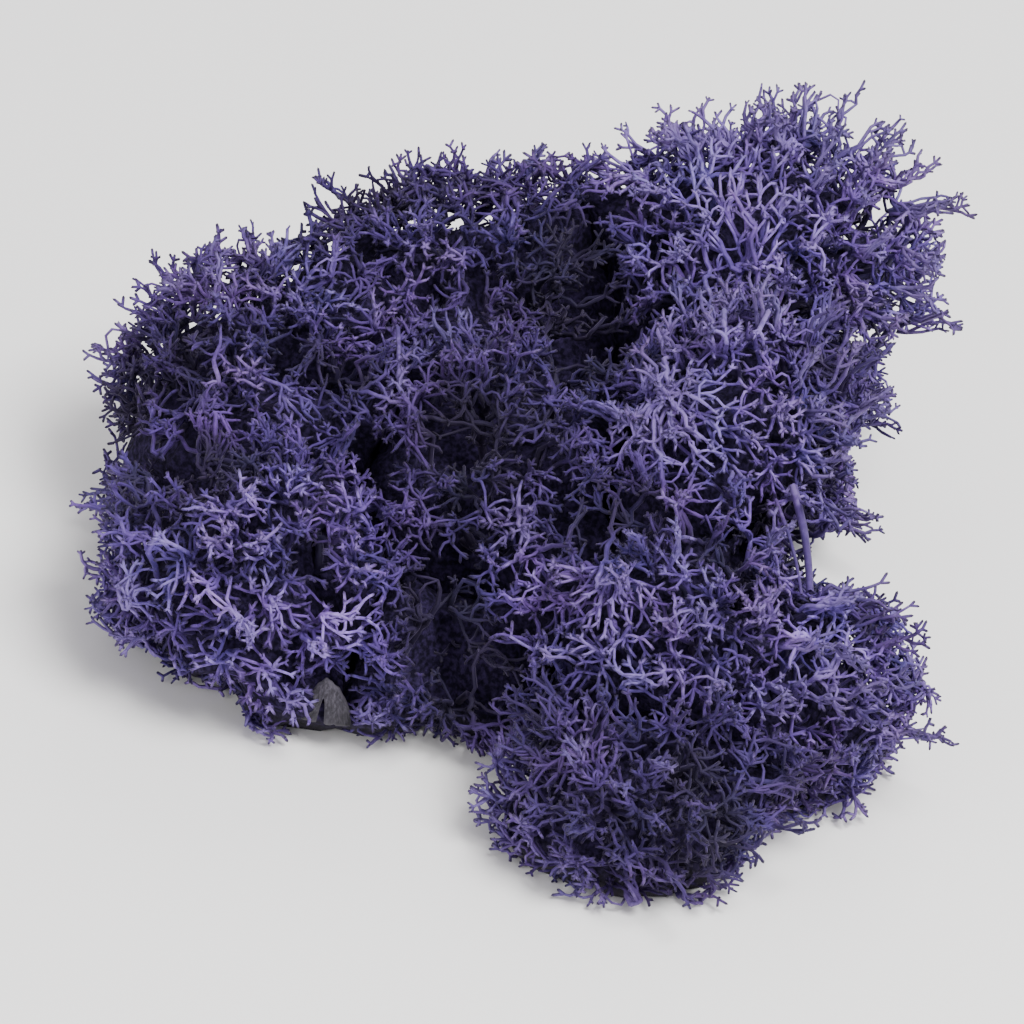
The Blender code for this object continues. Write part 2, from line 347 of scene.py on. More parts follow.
MARKED_PLACES = {
    Mark.STAR: (
        (19.6, 15.2, 9.5, 1.0, (4.0, -5.0)), (29.5, 31.5, 8.5, 1.0, (-0.5, 6.5)),
        (13.3, -6.3, 7.0, 1.0, (-1.0, -4.0)), (3.2, -4.0, 6.0, 1.0, (1.5, -4.0)),
        (-31.0, -11.0, 4.5, 1.0, (1.5, -2.5)), (-14.0, 17.0, 4.5, 1.0, (0.0, -3.0)),
        (13.3, -22.8, 6.5, 1.0, (2.0, -4.0)), (40.0, -21.5, 8.0, 1.0, (5.0, 0.0)),
        (25.3, 43.0, 7.0, 1.0, (1.0, 5.0)),
    ),
    Mark.DENT: (
        (-3.8, 13.9, 4.0, 0.30), (-6.3, 8.9, 3.6, 0.34), (-5.7, 2.5, 3.4, 0.36),
        (-6.3, -3.8, 3.4, 0.40), (-9.2, -10.0, 3.7, 0.48), (-8.9, -16.5, 4.2, 0.52),
        (-5.0, -22.5, 4.6, 0.50), (8.9, 26.6, 5.5, 0.26), (7.0, 19.0, 4.0, 0.28),
        (10.0, 34.0, 4.0, 0.10), (-46.0, 6.3, 5.0, 0.22), (-39.0, 5.0, 4.0, 0.24),
        (12.0, -1.5, 4.0, 0.24), (26.0, -3.5, 4.5, 0.26), (25.0, 54.0, 9.0, 0.10),
    ),
    Mark.RISE: (
        (-21.5, 41.5, 5.0, 0.16),
    ),
    Mark.HOLLOW: (
        (-18.4, 7.6, 3.2), (-25.3, -5.0, 2.2), (-37.5, -8.0, 1.4), (-25.9, -8.0, 2.0),
        (-42.0, 24.3, 2.2), (-42.0, 19.6, 2.4), (-34.0, 24.6, 1.6), (-29.5, 18.6, 1.8),
        (-27.6, 22.8, 1.8), (-20.4, 17.6, 2.6), (-23.8, 19.4, 2.0), (-3.8, 27.8, 2.2),
        (8.9, 27.5, 3.4), (11.5, 23.0, 2.4), (7.5, 20.0, 3.8), (13.0, 20.0, 2.6), (10.0, 34.5, 2.6),
        (-3.8, 14.0, 3.4), (-6.3, 8.9, 3.2), (-5.7, 2.5, 2.2), (-7.2, -3.8, 2.0), (4.4, 10.0, 3.0),
        (10.0, -2.5, 3.4), (15.8, 0.5, 2.8), (5.0, -0.5, 1.6), (23.0, -2.3, 2.3), (27.8, -6.3, 3.0),
        (35.0, -3.0, 2.6), (-9.5, -10.0, 3.6), (-8.9, -16.5, 4.4), (-6.0, -23.0, 4.2),
        (-0.8, -20.0, 3.2), (1.0, -25.5, 2.4), (24.0, -31.6, 3.0), (27.0, -40.0, 2.2),
        (29.1, 33.5, 1.8), (42.5, 20.5, 2.8), (-46.0, 6.0, 2.8), (-46.5, 4.0, 2.2),
        (-41.0, 5.0, 2.6), (-35.5, 6.0, 2.0),
    ),
    Mark.CLEAR: (
        (-23.9, -25.0, 3.1), (-29.0, -25.6, 1.3), (-23.7, -22.2, 2.0), (7.5, 20.5, 2.4),
        (12.3, 21.5, 2.2), (10.0, 27.0, 2.2), (36.6, 0.5, 1.2), (-18.4, 7.6, 2.0),
        (-20.4, 17.8, 1.6), (-42.0, 23.5, 1.3), (-25.3, -5.6, 1.6), (10.3, -2.5, 1.9),
        (15.8, 0.3, 1.5), (23.0, -2.3, 1.4), (27.8, -6.0, 1.5), (-47.5, 8.0, 2.2),
        (-44.5, 5.2, 1.8), (-41.5, 6.0, 1.8), (-28.5, 20.0, 1.2), (-3.8, 27.8, 1.5),
        (-9.0, -15.0, 2.2), (-5.5, -21.5, 2.2), (37.0, -3.0, 1.5), (37.7, -7.0, 1.4),
    ),
    # Painted shade along the foot.
    Mark.MAT: (
        (-24.0, -27.8, 5.0), (-20.0, -27.8, 4.0), (-31.0, -25.5, 4.0), (-38.5, -21.0, 4.0),
        (-15.5, -27.6, 4.0),
    ),
    # Painted shade on the twigs.
    Mark.SHADE: (
        (-49.5, 8.5, 7.5, 1.7), (-51.0, 18.0, 7.0, 0.9), (-53.0, -2.0, 5.0, 0.6),
        (-41.0, 6.0, 6.0, 1.2), (-49.0, 3.0, 5.0, 1.2), (-43.0, 1.5, 4.0, 0.6),
        (-34.0, 7.5, 5.0, 0.9), (-27.0, 8.5, 4.5, 0.5), (-5.5, 9.0, 5.5), (-9.8, -13.0, 5.0),
        (-3.0, -21.0, 5.0, 0.8), (2.8, -27.5, 4.5, 1.2), (8.0, 24.5, 7.5), (13.5, 18.5, 4.5, 1.3),
        (-2.0, 22.0, 5.0, 0.4), (6.0, 36.0, 7.0, 0.8), (-18.0, 41.0, 9.0, 1.3),
        (-44.0, 31.0, 6.0, 0.7), (-31.0, 37.0, 5.0, 0.6), (-4.0, 45.0, 5.0, 0.8),
        (-42.0, 22.0, 5.0, 1.0), (-20.6, 18.0, 4.0, 0.7), (-28.5, 21.5, 4.0, 0.6),
        (-18.6, 8.0, 3.2, 0.7), (-25.6, -6.5, 2.6, 0.6), (12.0, -0.5, 5.0, 0.8),
        (30.5, -6.0, 4.0, 0.8), (27.0, -43.0, 8.0, 1.3), (35.0, -33.0, 4.0, 0.6),
        (13.5, -5.5, 4.0, 0.9), (10.0, -40.0, 7.0, 0.6), (24.0, -31.0, 5.0, 0.5),
        (43.0, 20.0, 4.0, 0.8),
    ),
    # Painted light on the twigs.
    Mark.GLOW: (
        (41.0, 33.0, 8.0, 1.4), (23.5, 31.5, 3.0, 0.6), (30.0, 19.5, 4.5, 0.9),
        (33.0, 4.0, 7.5, 0.8), (39.5, -13.5, 5.5), (46.0, -18.0, 4.0, 0.6), (-0.8, -9.0, 4.5),
        (-20.5, -18.5, 5.5, 1.6), (-25.0, -10.3, 3.5, 0.8), (-41.0, -14.8, 4.5, 1.7),
        (-15.5, 30.0, 5.0, 0.6), (17.5, -29.0, 4.5, 0.5),
    ),
    Mark.GAP: (
        (58.0, 29.5, 3.6), (54.3, 15.8, 6.0), (50.0, 5.0, 6.2), (41.4, -6.2, 3.3),
        (46.0, -6.0, 3.8), (52.0, -9.5, 4.2), (60.0, -27.5, 5.2), (58.2, -15.5, 6.4),
        (54.3, -37.0, 6.6), (29.9, -5.0, 1.4), (34.8, -0.4, 0.7), (35.2, -3.8, 0.8),
        (35.4, -5.6, 0.9), (35.0, -7.8, 0.7), (40.6, 23.5, 1.2), (44.6, 27.3, 0.8),
        (40.8, 35.0, 0.8), (41.7, 21.3, 0.8), (44.9, 20.8, 0.8), (-50.0, -22.0, 5.0),
        (-59.5, -6.0, 4.6), (-60.0, 1.0, 4.6), (-40.5, -27.5, 5.2), (-11.5, -34.0, 5.2),
    ),
    Mark.THIN: (
        (43.5, 25.0, 7.0), (42.5, 35.0, 5.0), (33.2, -5.0, 4.2),
    ),
}
SPOTS = tuple(Spot(mark, *row) for mark, rows in MARKED_PLACES.items() for row in rows)

STANDOUT_STALKS = (
    ((31.7, 23.3), (32.0, 27.6), (31.5, 31.4), (31.2, 36.2), (29.7, 38.6), (28.4, 40.9)),
    ((25.7, 26.7), (25.2, 30.3), (24.5, 34.8), (25.2, 37.0)),
    ((27.4, 22.6), (27.7, 25.5), (29.7, 29.4)),
    ((31.8, 31.4), (34.0, 31.4), (37.2, 29.4)),
    ((19.9, 15.0), (18.4, 12.9), (18.2, 9.0), (19.1, 6.9), (19.5, 3.9), (19.9, 1.1)),
    ((19.6, 14.6), (17.4, 12.8), (15.7, 9.7), (14.0, 7.5), (13.5, 5.8)),
    ((18.2, 13.6), (15.7, 12.4), (13.7, 12.9), (12.0, 13.5)),
    ((20.0, 15.3), (19.9, 18.0), (19.5, 20.3), (19.7, 23.1), (20.3, 25.0)),
    ((20.3, 15.3), (21.8, 15.2), (24.0, 14.5), (26.1, 12.8)),
    ((20.2, 14.6), (21.2, 13.3), (23.3, 10.5), (25.0, 9.2)),
    ((2.2, -3.7), (1.1, -2.0), (0.9, 0.6), (1.1, 3.5)),
    ((3.4, -5.0), (6.9, -4.3), (8.1, -1.6), (9.0, 1.0)),
    ((11.1, -9.2), (11.8, -6.5), (13.0, -3.3), (13.3, 0.6)),
    ((-12.2, 11.6), (-12.9, 13.4), (-14.5, 16.0), (-14.5, 19.3), (-14.8, 24.0)),
    ((-13.2, 13.6), (-16.0, 14.6), (-19.9, 15.4), (-17.6, 16.6), (-16.0, 19.1)),
    ((-37.7, 16.7), (-38.0, 20.4), (-37.4, 23.0)),
    ((-29.5, 16.2), (-32.8, 17.8), (-35.0, 19.6)),
    ((-33.6, -16.0), (-34.6, -13.9), (-36.2, -12.4), (-36.2, -9.3)),
)


@dataclass(eq=False)
class Bumps:
    """Soft, irregular rises and dips all over space, as crossing waves."""

    count: int
    shortest: float
    longest: float
    seed: int
    gain: float = 1.4

    def __post_init__(self) -> None:
        """Draw the waves' directions, lengths and phases."""
        draw = random.Random(self.seed)
        self.waves = np.zeros((self.count, 3))
        self.phases = np.zeros(self.count)
        for number in range(self.count):
            way = np.array([draw.gauss(0.0, 1.0) for _ in range(3)])
            length = draw.uniform(self.shortest, self.longest)
            self.waves[number] = way / np.linalg.norm(way) * (math.tau / length)
            self.phases[number] = draw.uniform(0.0, math.tau)

    def height(self, points: Array) -> Array:
        """Say how high the bumps are at points, mostly between -1 and 1."""
        crossed = np.sin(points @ self.waves.T + self.phases).sum(axis=1)
        return crossed * self.gain / self.count


LUMPS = Bumps(9, 11.0 * MM, 24.0 * MM, seed=4)
FRAYS = Bumps(9, 3.0 * MM, 7.0 * MM, seed=9)


@dataclass(eq=False)
class Envelope:
    """The outline that a head's twigs fill."""

    size: HeadSize
    number: int
    ground_share: float = 0.80
    lift: float = math.radians(20.0)
    foot_level: float = -0.80
    inner_share: float = 0.8

    def __post_init__(self) -> None:
        """Keep the middle and the reach as arrays."""
        self.middle = np.array(self.size.middle)
        self.reach = np.array(self.size.reach)

    def fill(self, points: Array) -> Array:
        """Say how far out points lie: 0 on the axis and 1 on the outline.

        Args:
            points: Points, one a row.

        Returns:
            One number for each point.
        """
        offsets = points - self.middle
        across = offsets[:, :2] / self.reach[:2]
        rise = offsets[:, 2]
        drop = np.maximum(np.minimum(rise / self.middle[2], 0.0), -1.0)
        narrowing = 1.0 - (1.0 - self.ground_share) * drop * drop
        climb = np.maximum(rise / self.reach[2], 0.0)
        flat = np.hypot(across[:, 0], across[:, 1])
        return np.where(rise < 0.0, flat / narrowing, np.hypot(flat, climb))

    def rays(self, ways: Array) -> tuple[Array, Array]:
        """Say where the stalks of some ways on the unit sphere start, and their direction.

        Args:
            ways: Unit vectors, one a row.

        Returns:
            The starts on the head's axis, and the directions.
        """
        flat = ways[:, :2] / np.maximum(np.linalg.norm(ways[:, :2], axis=1), 1e-9)[:, None]
        ratio = self.middle[2] / self.reach[2]
        equator = (ratio + self.foot_level) / (1.0 + ratio)
        above = np.clip((ways[:, 2] - equator) / (1.0 - equator), 0.0, 1.0)
        level = np.clip((ways[:, 2] - self.foot_level) / (equator - self.foot_level), 0.0, 1.0)
        climb = self.lift + np.arcsin(above) * (1.0 - self.lift / (math.pi / 2.0))
        slope = np.where(ways[:, 2] >= equator, climb, self.lift * level)
        starts = np.tile(self.middle, (len(ways), 1))
        starts[:, 2] *= level
        directions = np.column_stack((flat * np.cos(slope)[:, None], np.sin(slope)))
        return starts, directions

    def inner_place(self, place: Array) -> Array:
        """The place on the head's axis that a stalk at some place grows from."""
        level = min(place[2], self.middle[2]) * self.inner_share
        return np.array((self.middle[0], self.middle[1], level))


@dataclass(eq=False)
class Clump:
    """The outlines of all heads, melted softly into one another, and its marked places."""

    envelopes: list[Envelope]
    view: Viewpoint = Viewpoint()
    softness: float = 0.20
    bump_height: float = 0.10
    gap_rise: float = 1.5
    least_swell: float = 0.4
    steps: int = 30
    far: float = 0.042
    sight_reach: float = 0.09
    sight_steps: int = 721

    def __post_init__(self) -> None:
        """Find where on the outside the marked places are, first those that shape it."""
        self.measure = self.plain_fill
        self.places = [self.seen_place(spot.right, spot.up) for spot in SPOTS]
        self.measure = self.fill
        self.places = [
            place if spot.mark in (Mark.RISE, Mark.DENT) else self.seen_place(spot.right, spot.up)
            for spot, place in zip(SPOTS, self.places)
        ]

    def seen_place(self, right: float, up: float) -> Array:
        """Find the place on the clump's outside that is seen somewhere in the front view.

        Args:
            right: How far right of the view's middle, in millimetres.
            up: How far up it, in millimetres.

        Returns:
            The nearest point to the viewer, or the one that the sight line all but touches.
        """
        point, direction = self.view.sight(right * MM, up * MM)
        lengths = np.linspace(-self.sight_reach, self.sight_reach, self.sight_steps)
        points = point + direction * lengths[:, None]
        points = points[points[:, 2] > 0.0]
        fills = self.measure(points)
        inside = fills < 1.0
        return points[np.argmax(inside)] if inside.any() else points[np.argmin(fills)]

    def marked(self, mark: Mark) -> list[tuple[Array, float, float]]:
        """List the places with a mark, with their size in metres and their strength."""
        return [(place, spot.size * MM, spot.strength)
                for spot, place in zip(SPOTS, self.places) if spot.mark is mark]

    def nearness(self, mark: Mark, points: Array) -> Array:
        """Say how near points are to the places with a mark.

        Args:
            mark: The mark.
            points: Points, one a row.

        Returns:
            For each point the sum of the places' strengths, which fade out with distance.
        """
        total = np.zeros(len(points))
        for place, size, strength in self.marked(mark):
            total += strength * np.exp(-((points - place) ** 2).sum(axis=1) / size ** 2)
        return total

    def fills(self, points: Array) -> Array:
        """Say how far out points lie in each head.

        Args:
            points: Points, one a row.

        Returns:
            One row of numbers for each head.
        """
        return np.array([envelope.fill(points) for envelope in self.envelopes])

    def plain_fill(self, points: Array) -> Array:
        """Say how far out points lie in the melted heads, whose outside is at 1."""
        fills = np.exp(-self.fills(points) / self.softness).sum(axis=0)
        return -self.softness * np.log(np.maximum(fills, 1e-12))

    def fill(self, points: Array) -> Array:
        """Say how far out points lie in the clump with its bumps, dents and gaps.

        Args:
            points: Points, one a row.

        Returns:
            One number for each point: 1 on the outside, and less within.
        """
        swell = 1.0 + self.bump_height * LUMPS.height(points)
        swell += self.nearness(Mark.RISE, points) - self.nearness(Mark.DENT, points)
        fills = self.plain_fill(points) / np.maximum(swell, self.least_swell)
        flat = self.view.flatten(points) / MM
        for spot in SPOTS:
            if spot.mark is Mark.GAP:
                away = np.hypot(flat[:, 0] - spot.right, flat[:, 1] - spot.up) / spot.size
                fills += self.gap_rise * np.exp(-np.minimum(away, 3.0) ** 4)
        return fills

    def reach(self, starts: Array, directions: Array) -> Array:
        """Find how far along rays the clump's outside is.

        Args:
            starts: Where the rays start, inside the clump.
            directions: Their unit directions.

        Returns:
            One length for each ray.
        """
        lengths = np.full(len(starts), self.far)
        found = np.zeros(len(starts), dtype=bool)
        before = self.fill(starts)
        for step in range(1, self.steps + 1):
            length = self.far * step / self.steps
            after = self.fill(starts + directions * length)
            crossed = ~found & (after >= 1.0)
            share = (1.0 - before[crossed]) / (after[crossed] - before[crossed])
            lengths[crossed] = length - (1.0 - share) * self.far / self.steps
            found |= crossed
            before = after
        return lengths

    def lead(self, number: int, points: Array) -> Array:
        """Say by how much points belong more to one head than to any other.

        Args:
            number: The head's number.
            points: Points, one a row.

        Returns:
            One number for each point, above 0 inside the head's own part.
        """
        fills = self.fills(points)
        own = fills[number].copy()
        fills[number] = np.inf
        return fills.min(axis=0) - own


class Sieve:
    """Lets a point through only where no other one is nearer than a least distance."""

    def __init__(self, spacing: float) -> None:
        """Start with no points.

        Args:
            spacing: The least distance.
        """
        self.spacing = spacing
        self.cells: dict[tuple[int, ...], list[Triple]] = {}

    def take(self, point: Triple) -> bool:
        """Keep a point if it has room.

        Args:
            point: The point.

        Returns:
            Whether it was kept.
        """
        home = tuple(math.floor(part / self.spacing) for part in point)
        least = self.spacing ** 2
        for right in (-1, 0, 1):
            for back in (-1, 0, 1):
                for up in (-1, 0, 1):
                    cell = (home[0] + right, home[1] + back, home[2] + up)
                    for kept in self.cells.get(cell, ()):
                        if sum((a - b) ** 2 for a, b in zip(kept, point)) < least:
                            return False
        self.cells.setdefault(home, []).append(point)
        return True

    def pick(self, points: Array) -> Array:
        """Pick the points that keep their distance, in the given order.

        Args:
            points: Points, one a row.

        Returns:
            The row numbers of the picked points.
        """
        rows = [row for row, point in enumerate(points.tolist()) if self.take(tuple(point))]
        return np.array(rows, dtype=int)


@dataclass(frozen=True)
class Round:
    """One round of forks: how far it lies under the last one, and how wide a fork joins."""

    step: float
    span: float


@dataclass(frozen=True)
class StalkRule:
    """The lengths and thicknesses of the stalks, from the ends inwards.

    The radii are those at the ends of the twigs, at the first round of forks under them,
    and so on.
    """

    end_spacing: float = 1.55 * MM
    tuft_spacing: float = 4.9 * MM
    tuft_rounds: tuple[Round, ...] = (
        Round(1.4 * MM, 3.0 * MM), Round(1.8 * MM, 4.2 * MM), Round(2.4 * MM, 5.4 * MM)
    )
    star_rounds: tuple[Round, ...] = (
        Round(2.0 * MM, 3.6 * MM), Round(2.6 * MM, 5.0 * MM), Round(3.2 * MM, 6.4 * MM),
        Round(3.6 * MM, 8.0 * MM)
    )
    trunk_rounds: tuple[Round, ...] = (
        Round(3.2 * MM, 9.5 * MM), Round(4.0 * MM, 13.0 * MM), Round(5.0 * MM, 18.0 * MM),
        Round(6.0 * MM, 24.0 * MM)
    )
    radii: tuple[float, ...] = (
        0.21 * MM, 0.26 * MM, 0.30 * MM, 0.34 * MM, 0.39 * MM, 0.46 * MM, 0.55 * MM, 0.7 * MM
    )
    group_odds: tuple[int, ...] = (6, 56, 32, 6)
    neighbours: int = 9
    step_range: tuple[float, float] = (0.65, 1.35)
    inward_limit: float = 0.6
    scatter: float = 0.36
    wander: float = 0.09
    curl: float = 0.60
    pull: float = 0.8
    side_lean: float = 0.35
    main_lean: float = 0.75
    flare: float = 1.12
    pieces: tuple[int, ...] = (2, 3, 3, 4, 4, 4, 4, 4)


class StalkTree:
    """The forks and ends of a head's stalks, and which fork each one grows from."""

    def __init__(self, rule: StalkRule, draw: random.Random) -> None:
        """Start with no stalks.

        Args:
            rule: The stalks' lengths and thicknesses.
            draw: The head's own random numbers.
        """
        self.rule = rule
        self.draw = draw
        self.places: list[Vector] = []
        self.parents: list[int] = []
        self.rounds: list[int] = []
        self.tones: list[float] = []

    def add(self, place: Vector, round_number: int, tone: float, parent: int = -1) -> int:
        """Add a fork or an end and return its number.

        Args:
            place: Where it is.
            round_number: 0 for an end, 1 for the first round of forks, and so on.
            tone: How light it is: its dye, with the painted light and shade of its head.
            parent: The number of the fork that it grows from, or -1 if there is none yet.

        Returns:
            Its number.
        """
        self.places.append(place)
        self.parents.append(parent)
        self.rounds.append(round_number)
        self.tones.append(tone)
        return len(self.places) - 1

    def hang(self, members: list[int], fork: int) -> None:
        """Let forks or ends grow from a fork."""
        for member in members:
            self.parents[member] = fork

    def aside(self, reach: float = 1.0) -> Vector:
        """Draw a random step aside, which goes up to a reach along each axis."""
        return Vector([self.draw.uniform(-reach, reach) for _ in range(3)])

    def finder(self, members: list[int]) -> kdtree.KDTree:
        """Make a tree that finds the forks or ends nearest to a place.

        Args:
            members: Their numbers.

        Returns:
            The tree.
        """
        tree = kdtree.KDTree(len(members))
        for member in members:
            tree.insert(self.places[member], member)
        tree.balance()
        return tree

    def groups(self, members: list[int], span: float) -> list[list[int]]:
        """Put neighbours together in ones, twos, threes and fours.

        Args:
            members: The numbers of forks or ends.
            span: How far apart the members of a group may be.

        Returns:
            The groups.
        """
        finder = self.finder(members)
        waiting = set(members)
        groups = []
        for first in self.draw.sample(members, len(members)):
            if first not in waiting:
                continue
            wanted = self.draw.choices((1, 2, 3, 4), weights=self.rule.group_odds)[0]
            near = [
                other for _, other, gap in finder.find_n(self.places[first], self.rule.neighbours)
                if other in waiting and other != first and gap < span
            ]
            group = [first, *near[:wanted - 1]]
            waiting.difference_update(group)
            groups.append(group)
        return groups

    def join(self, members: list[int], root: Vector, stage: Round) -> list[int]:
        """Join neighbours to new forks, one step nearer to a root.

        Args:
            members: The numbers of forks or ends.
            root: The place that the stalks grow from.
            stage: The round of forks.

        Returns:
            The numbers of the new forks.
        """
        forks = []
        for group in self.groups(members, stage.span):
            middle = sum((self.places[member] for member in group), Vector()) / len(group)
            inward = root - middle
            step = stage.step * self.draw.uniform(*self.rule.step_range)
            reach = min(step, self.rule.inward_limit * inward.length)
            aside = self.aside() * (stage.step * self.rule.scatter)
            place = middle + inward.normalized() * reach + aside
            tone = sum(self.tones[member] for member in group) / len(group)
            round_number = 1 + max(self.rounds[member] for member in group)
            fork = self.add(place, round_number, tone)
            self.hang(group, fork)
            forks.append(fork)
        return forks

    def grow_tuft(
        self, ends: list[int], root: Vector, tone: float, rounds: tuple[Round, ...]
    ) -> int:
        """Join all ends of a tuft down to its root.

        Args:
            ends: The numbers of the ends.
            root: The place that the tuft grows from.
            tone: How light the root is: its dye, with the painted light and shade of its head.
            rounds: The rounds of forks on the way.

        Returns:
            The number of the root.
        """
        members = ends
        for stage in rounds:
            if len(members) > 2:
                members = self.join(members, root, stage)
        base = self.add(root, 1 + max(self.rounds[member] for member in members), tone)
        self.hang(members, base)
        return base

    def children(self) -> list[list[int]]:
        """List what grows from each fork."""
        lists: list[list[int]] = [[] for _ in self.places]
        for member, parent in enumerate(self.parents):
            if parent >= 0:
                lists[parent].append(member)
        return lists


@dataclass
class Paths:
    """The middle lines of the stalks, as points with a thickness and a tone: their dye with painted
    light and shade.
    """

    points: list[Vector] = field(default_factory=list)
    radii: list[float] = field(default_factory=list)
    tones: list[float] = field(default_factory=list)
    edges: list[tuple[int, int]] = field(default_factory=list)

    def add_point(self, point: Vector, radius: float, tone: float, joined: bool) -> None:
        """Add a point, joined to the last one or not.

        Args:
            point: Where it is.
            radius: The stalk's radius there.
            tone: How light it is there: the dye with painted light and shade.
            joined: Whether the stalk runs on from the last point.
        """
        if joined:
            self.edges.append((len(self.points) - 1, len(self.points)))
        self.points.append(point)
        self.radii.append(radius)
        self.tones.append(tone)


@dataclass(frozen=True)
class BareStalk:
    """A stalk without twigs that bridges the notch on the right of the clump.

    It starts and ends on the moss that is seen at two places in the front view, given
    as millimetres right of its middle and up it.
    """

    root: tuple[float, float]
    tip: tuple[float, float]
    radius: float
    head: str = "head_mid_right"
    taper: float = 0.8
    bow: float = 0.5 * MM
    steps: int = 9
    tone: float = 0.62

    def draw(self, clump: Clump, paths: Paths) -> None:
        """Add the stalk to a head's paths.

        Args:
            clump: The clump.
            paths: The head's paths.
        """
        root = Vector(clump.seen_place(*self.root))
        tip = Vector(clump.seen_place(*self.tip))
        for step in range(self.steps + 1):
            share = step / self.steps
            point = root.lerp(tip, share)
            point.x += self.bow * math.sin(math.pi * share)
            radius = self.radius * (1.0 - (1.0 - self.taper) * share)
            paths.add_point(point, radius, self.tone, step > 0)


BARE_STALKS = (
    BareStalk((36.1, 3.4), (38.3, -10.2), 0.60 * MM),
    BareStalk((33.9, 1.6), (37.2, -10.6), 0.28 * MM),
)


class StalkPaths:
    """Draws smooth bent paths through the forks and ends of a tree."""

    def __init__(self, tree: StalkTree) -> None:
        """Find the heading of the stalk at each fork and end.

        Args:
            tree: The forks and ends.
        """
        self.tree = tree
        self.rule = tree.rule
        self.children = tree.children()
        self.headings = [self.heading(member) for member in range(len(tree.places))]

    def heading(self, member: int) -> Vector:
        """Say which way a stalk points at a fork or end.

        Args:
            member: The fork's or end's number.

        Returns:
            A unit vector.
        """
        place = self.tree.places[member]
        parent = self.tree.parents[member]
        along = Vector()
        if parent >= 0:
            along += (place - self.tree.places[parent]).normalized()
        ahead = [(self.tree.places[child] - place).normalized()
                 for child in self.children[member]]
        if ahead:
            along += sum(ahead, Vector()) / len(ahead) * self.rule.pull
        along += self.tree.aside() * (self.rule.curl if parent >= 0 else 0.0)
        return along.normalized() if along.length > 1e-6 else Vector((0.0, 0.0, 1.0))

    def radius(self, member: int) -> float:
        """The stalk's radius at a fork or end."""
        return self.rule.radii[min(self.tree.rounds[member], len(self.rule.radii) - 1)]

    def main_child(self, member: int) -> int:
        """Find the child in which the stalk runs on.

        Args:
            member: The fork's or end's number.

        Returns:
            The child's number, or -1 at an end.
        """
        heading = self.headings[member]
        place = self.tree.places[member]
        return max(
            self.children[member],
            key=lambda child: heading.dot((self.tree.places[child] - place).normalized()),
            default=-1,
        )

    def stretch(self, parent: int, child: int, side: bool) -> list[tuple[Vector, float]]:
        """Draw the bent path from a fork to the next fork or end.

        Args:
            parent: The number of the fork below.
            child: The number of the fork or end above.
            side: Whether the stalk forks off sideways here.

        Returns:
            The points after the first one, each with its share of the way.
        """
        start = self.tree.places[parent]
        end = self.tree.places[child]
        chord = end - start
        length = chord.length
        lean = self.rule.side_lean if side else self.rule.main_lean
        out = chord.normalized().lerp(self.headings[parent], lean).normalized() * length
        into = self.headings[child] * length
        count = self.rule.pieces[min(self.tree.rounds[child], len(self.rule.pieces) - 1)]
        points = []
        for step in range(1, count + 1):
            share = step / count
            square = share * share
            cube = square * share
            point = start * (2.0 * cube - 3.0 * square + 1.0) + out * (cube - 2.0 * square + share)
            point += end * (3.0 * square - 2.0 * cube) + into * (cube - square)
            if step < count:
                point += self.tree.aside(self.rule.wander * length)
            points.append((point, share))
        return points

    def run(self, paths: Paths, parent: int, first: int, side: bool) -> None:
        """Draw one stalk from a fork to the end that it runs on to.

        Args:
            paths: Where the stalk is added.
            parent: The fork that it starts from.
            first: The fork or end after it.
            side: Whether it forks off sideways.
        """
        tones = self.tree.tones
        start_radius = min(self.radius(parent), self.radius(first) * self.rule.flare)
        paths.add_point(self.tree.places[parent], start_radius, tones[parent], False)
        child = first
        while child >= 0:
            end_radius = self.radius(child)
            for point, share in self.stretch(parent, child, side):
                radius = start_radius + (end_radius - start_radius) * share
                tone = tones[parent] + (tones[child] - tones[parent]) * share
                paths.add_point(point, radius, tone, True)
            start_radius = end_radius
            side = False
            parent = child
            child = self.main_child(parent)

    def draw_all(self) -> Paths:
        """Draw every stalk of the tree."""
        paths = Paths()
        for member, children in enumerate(self.children):
            main = self.main_child(member)
            for child in children:
                if child != main:
                    self.run(paths, member, child, True)
                elif self.tree.parents[member] < 0:
                    self.run(paths, member, child, False)
        return paths


@dataclass(frozen=True)
class CrownShape:
    """A crown of short spikes at a twig's end: how many, how long and how far apart."""

    spikes: int
    length: float
    tilt: float


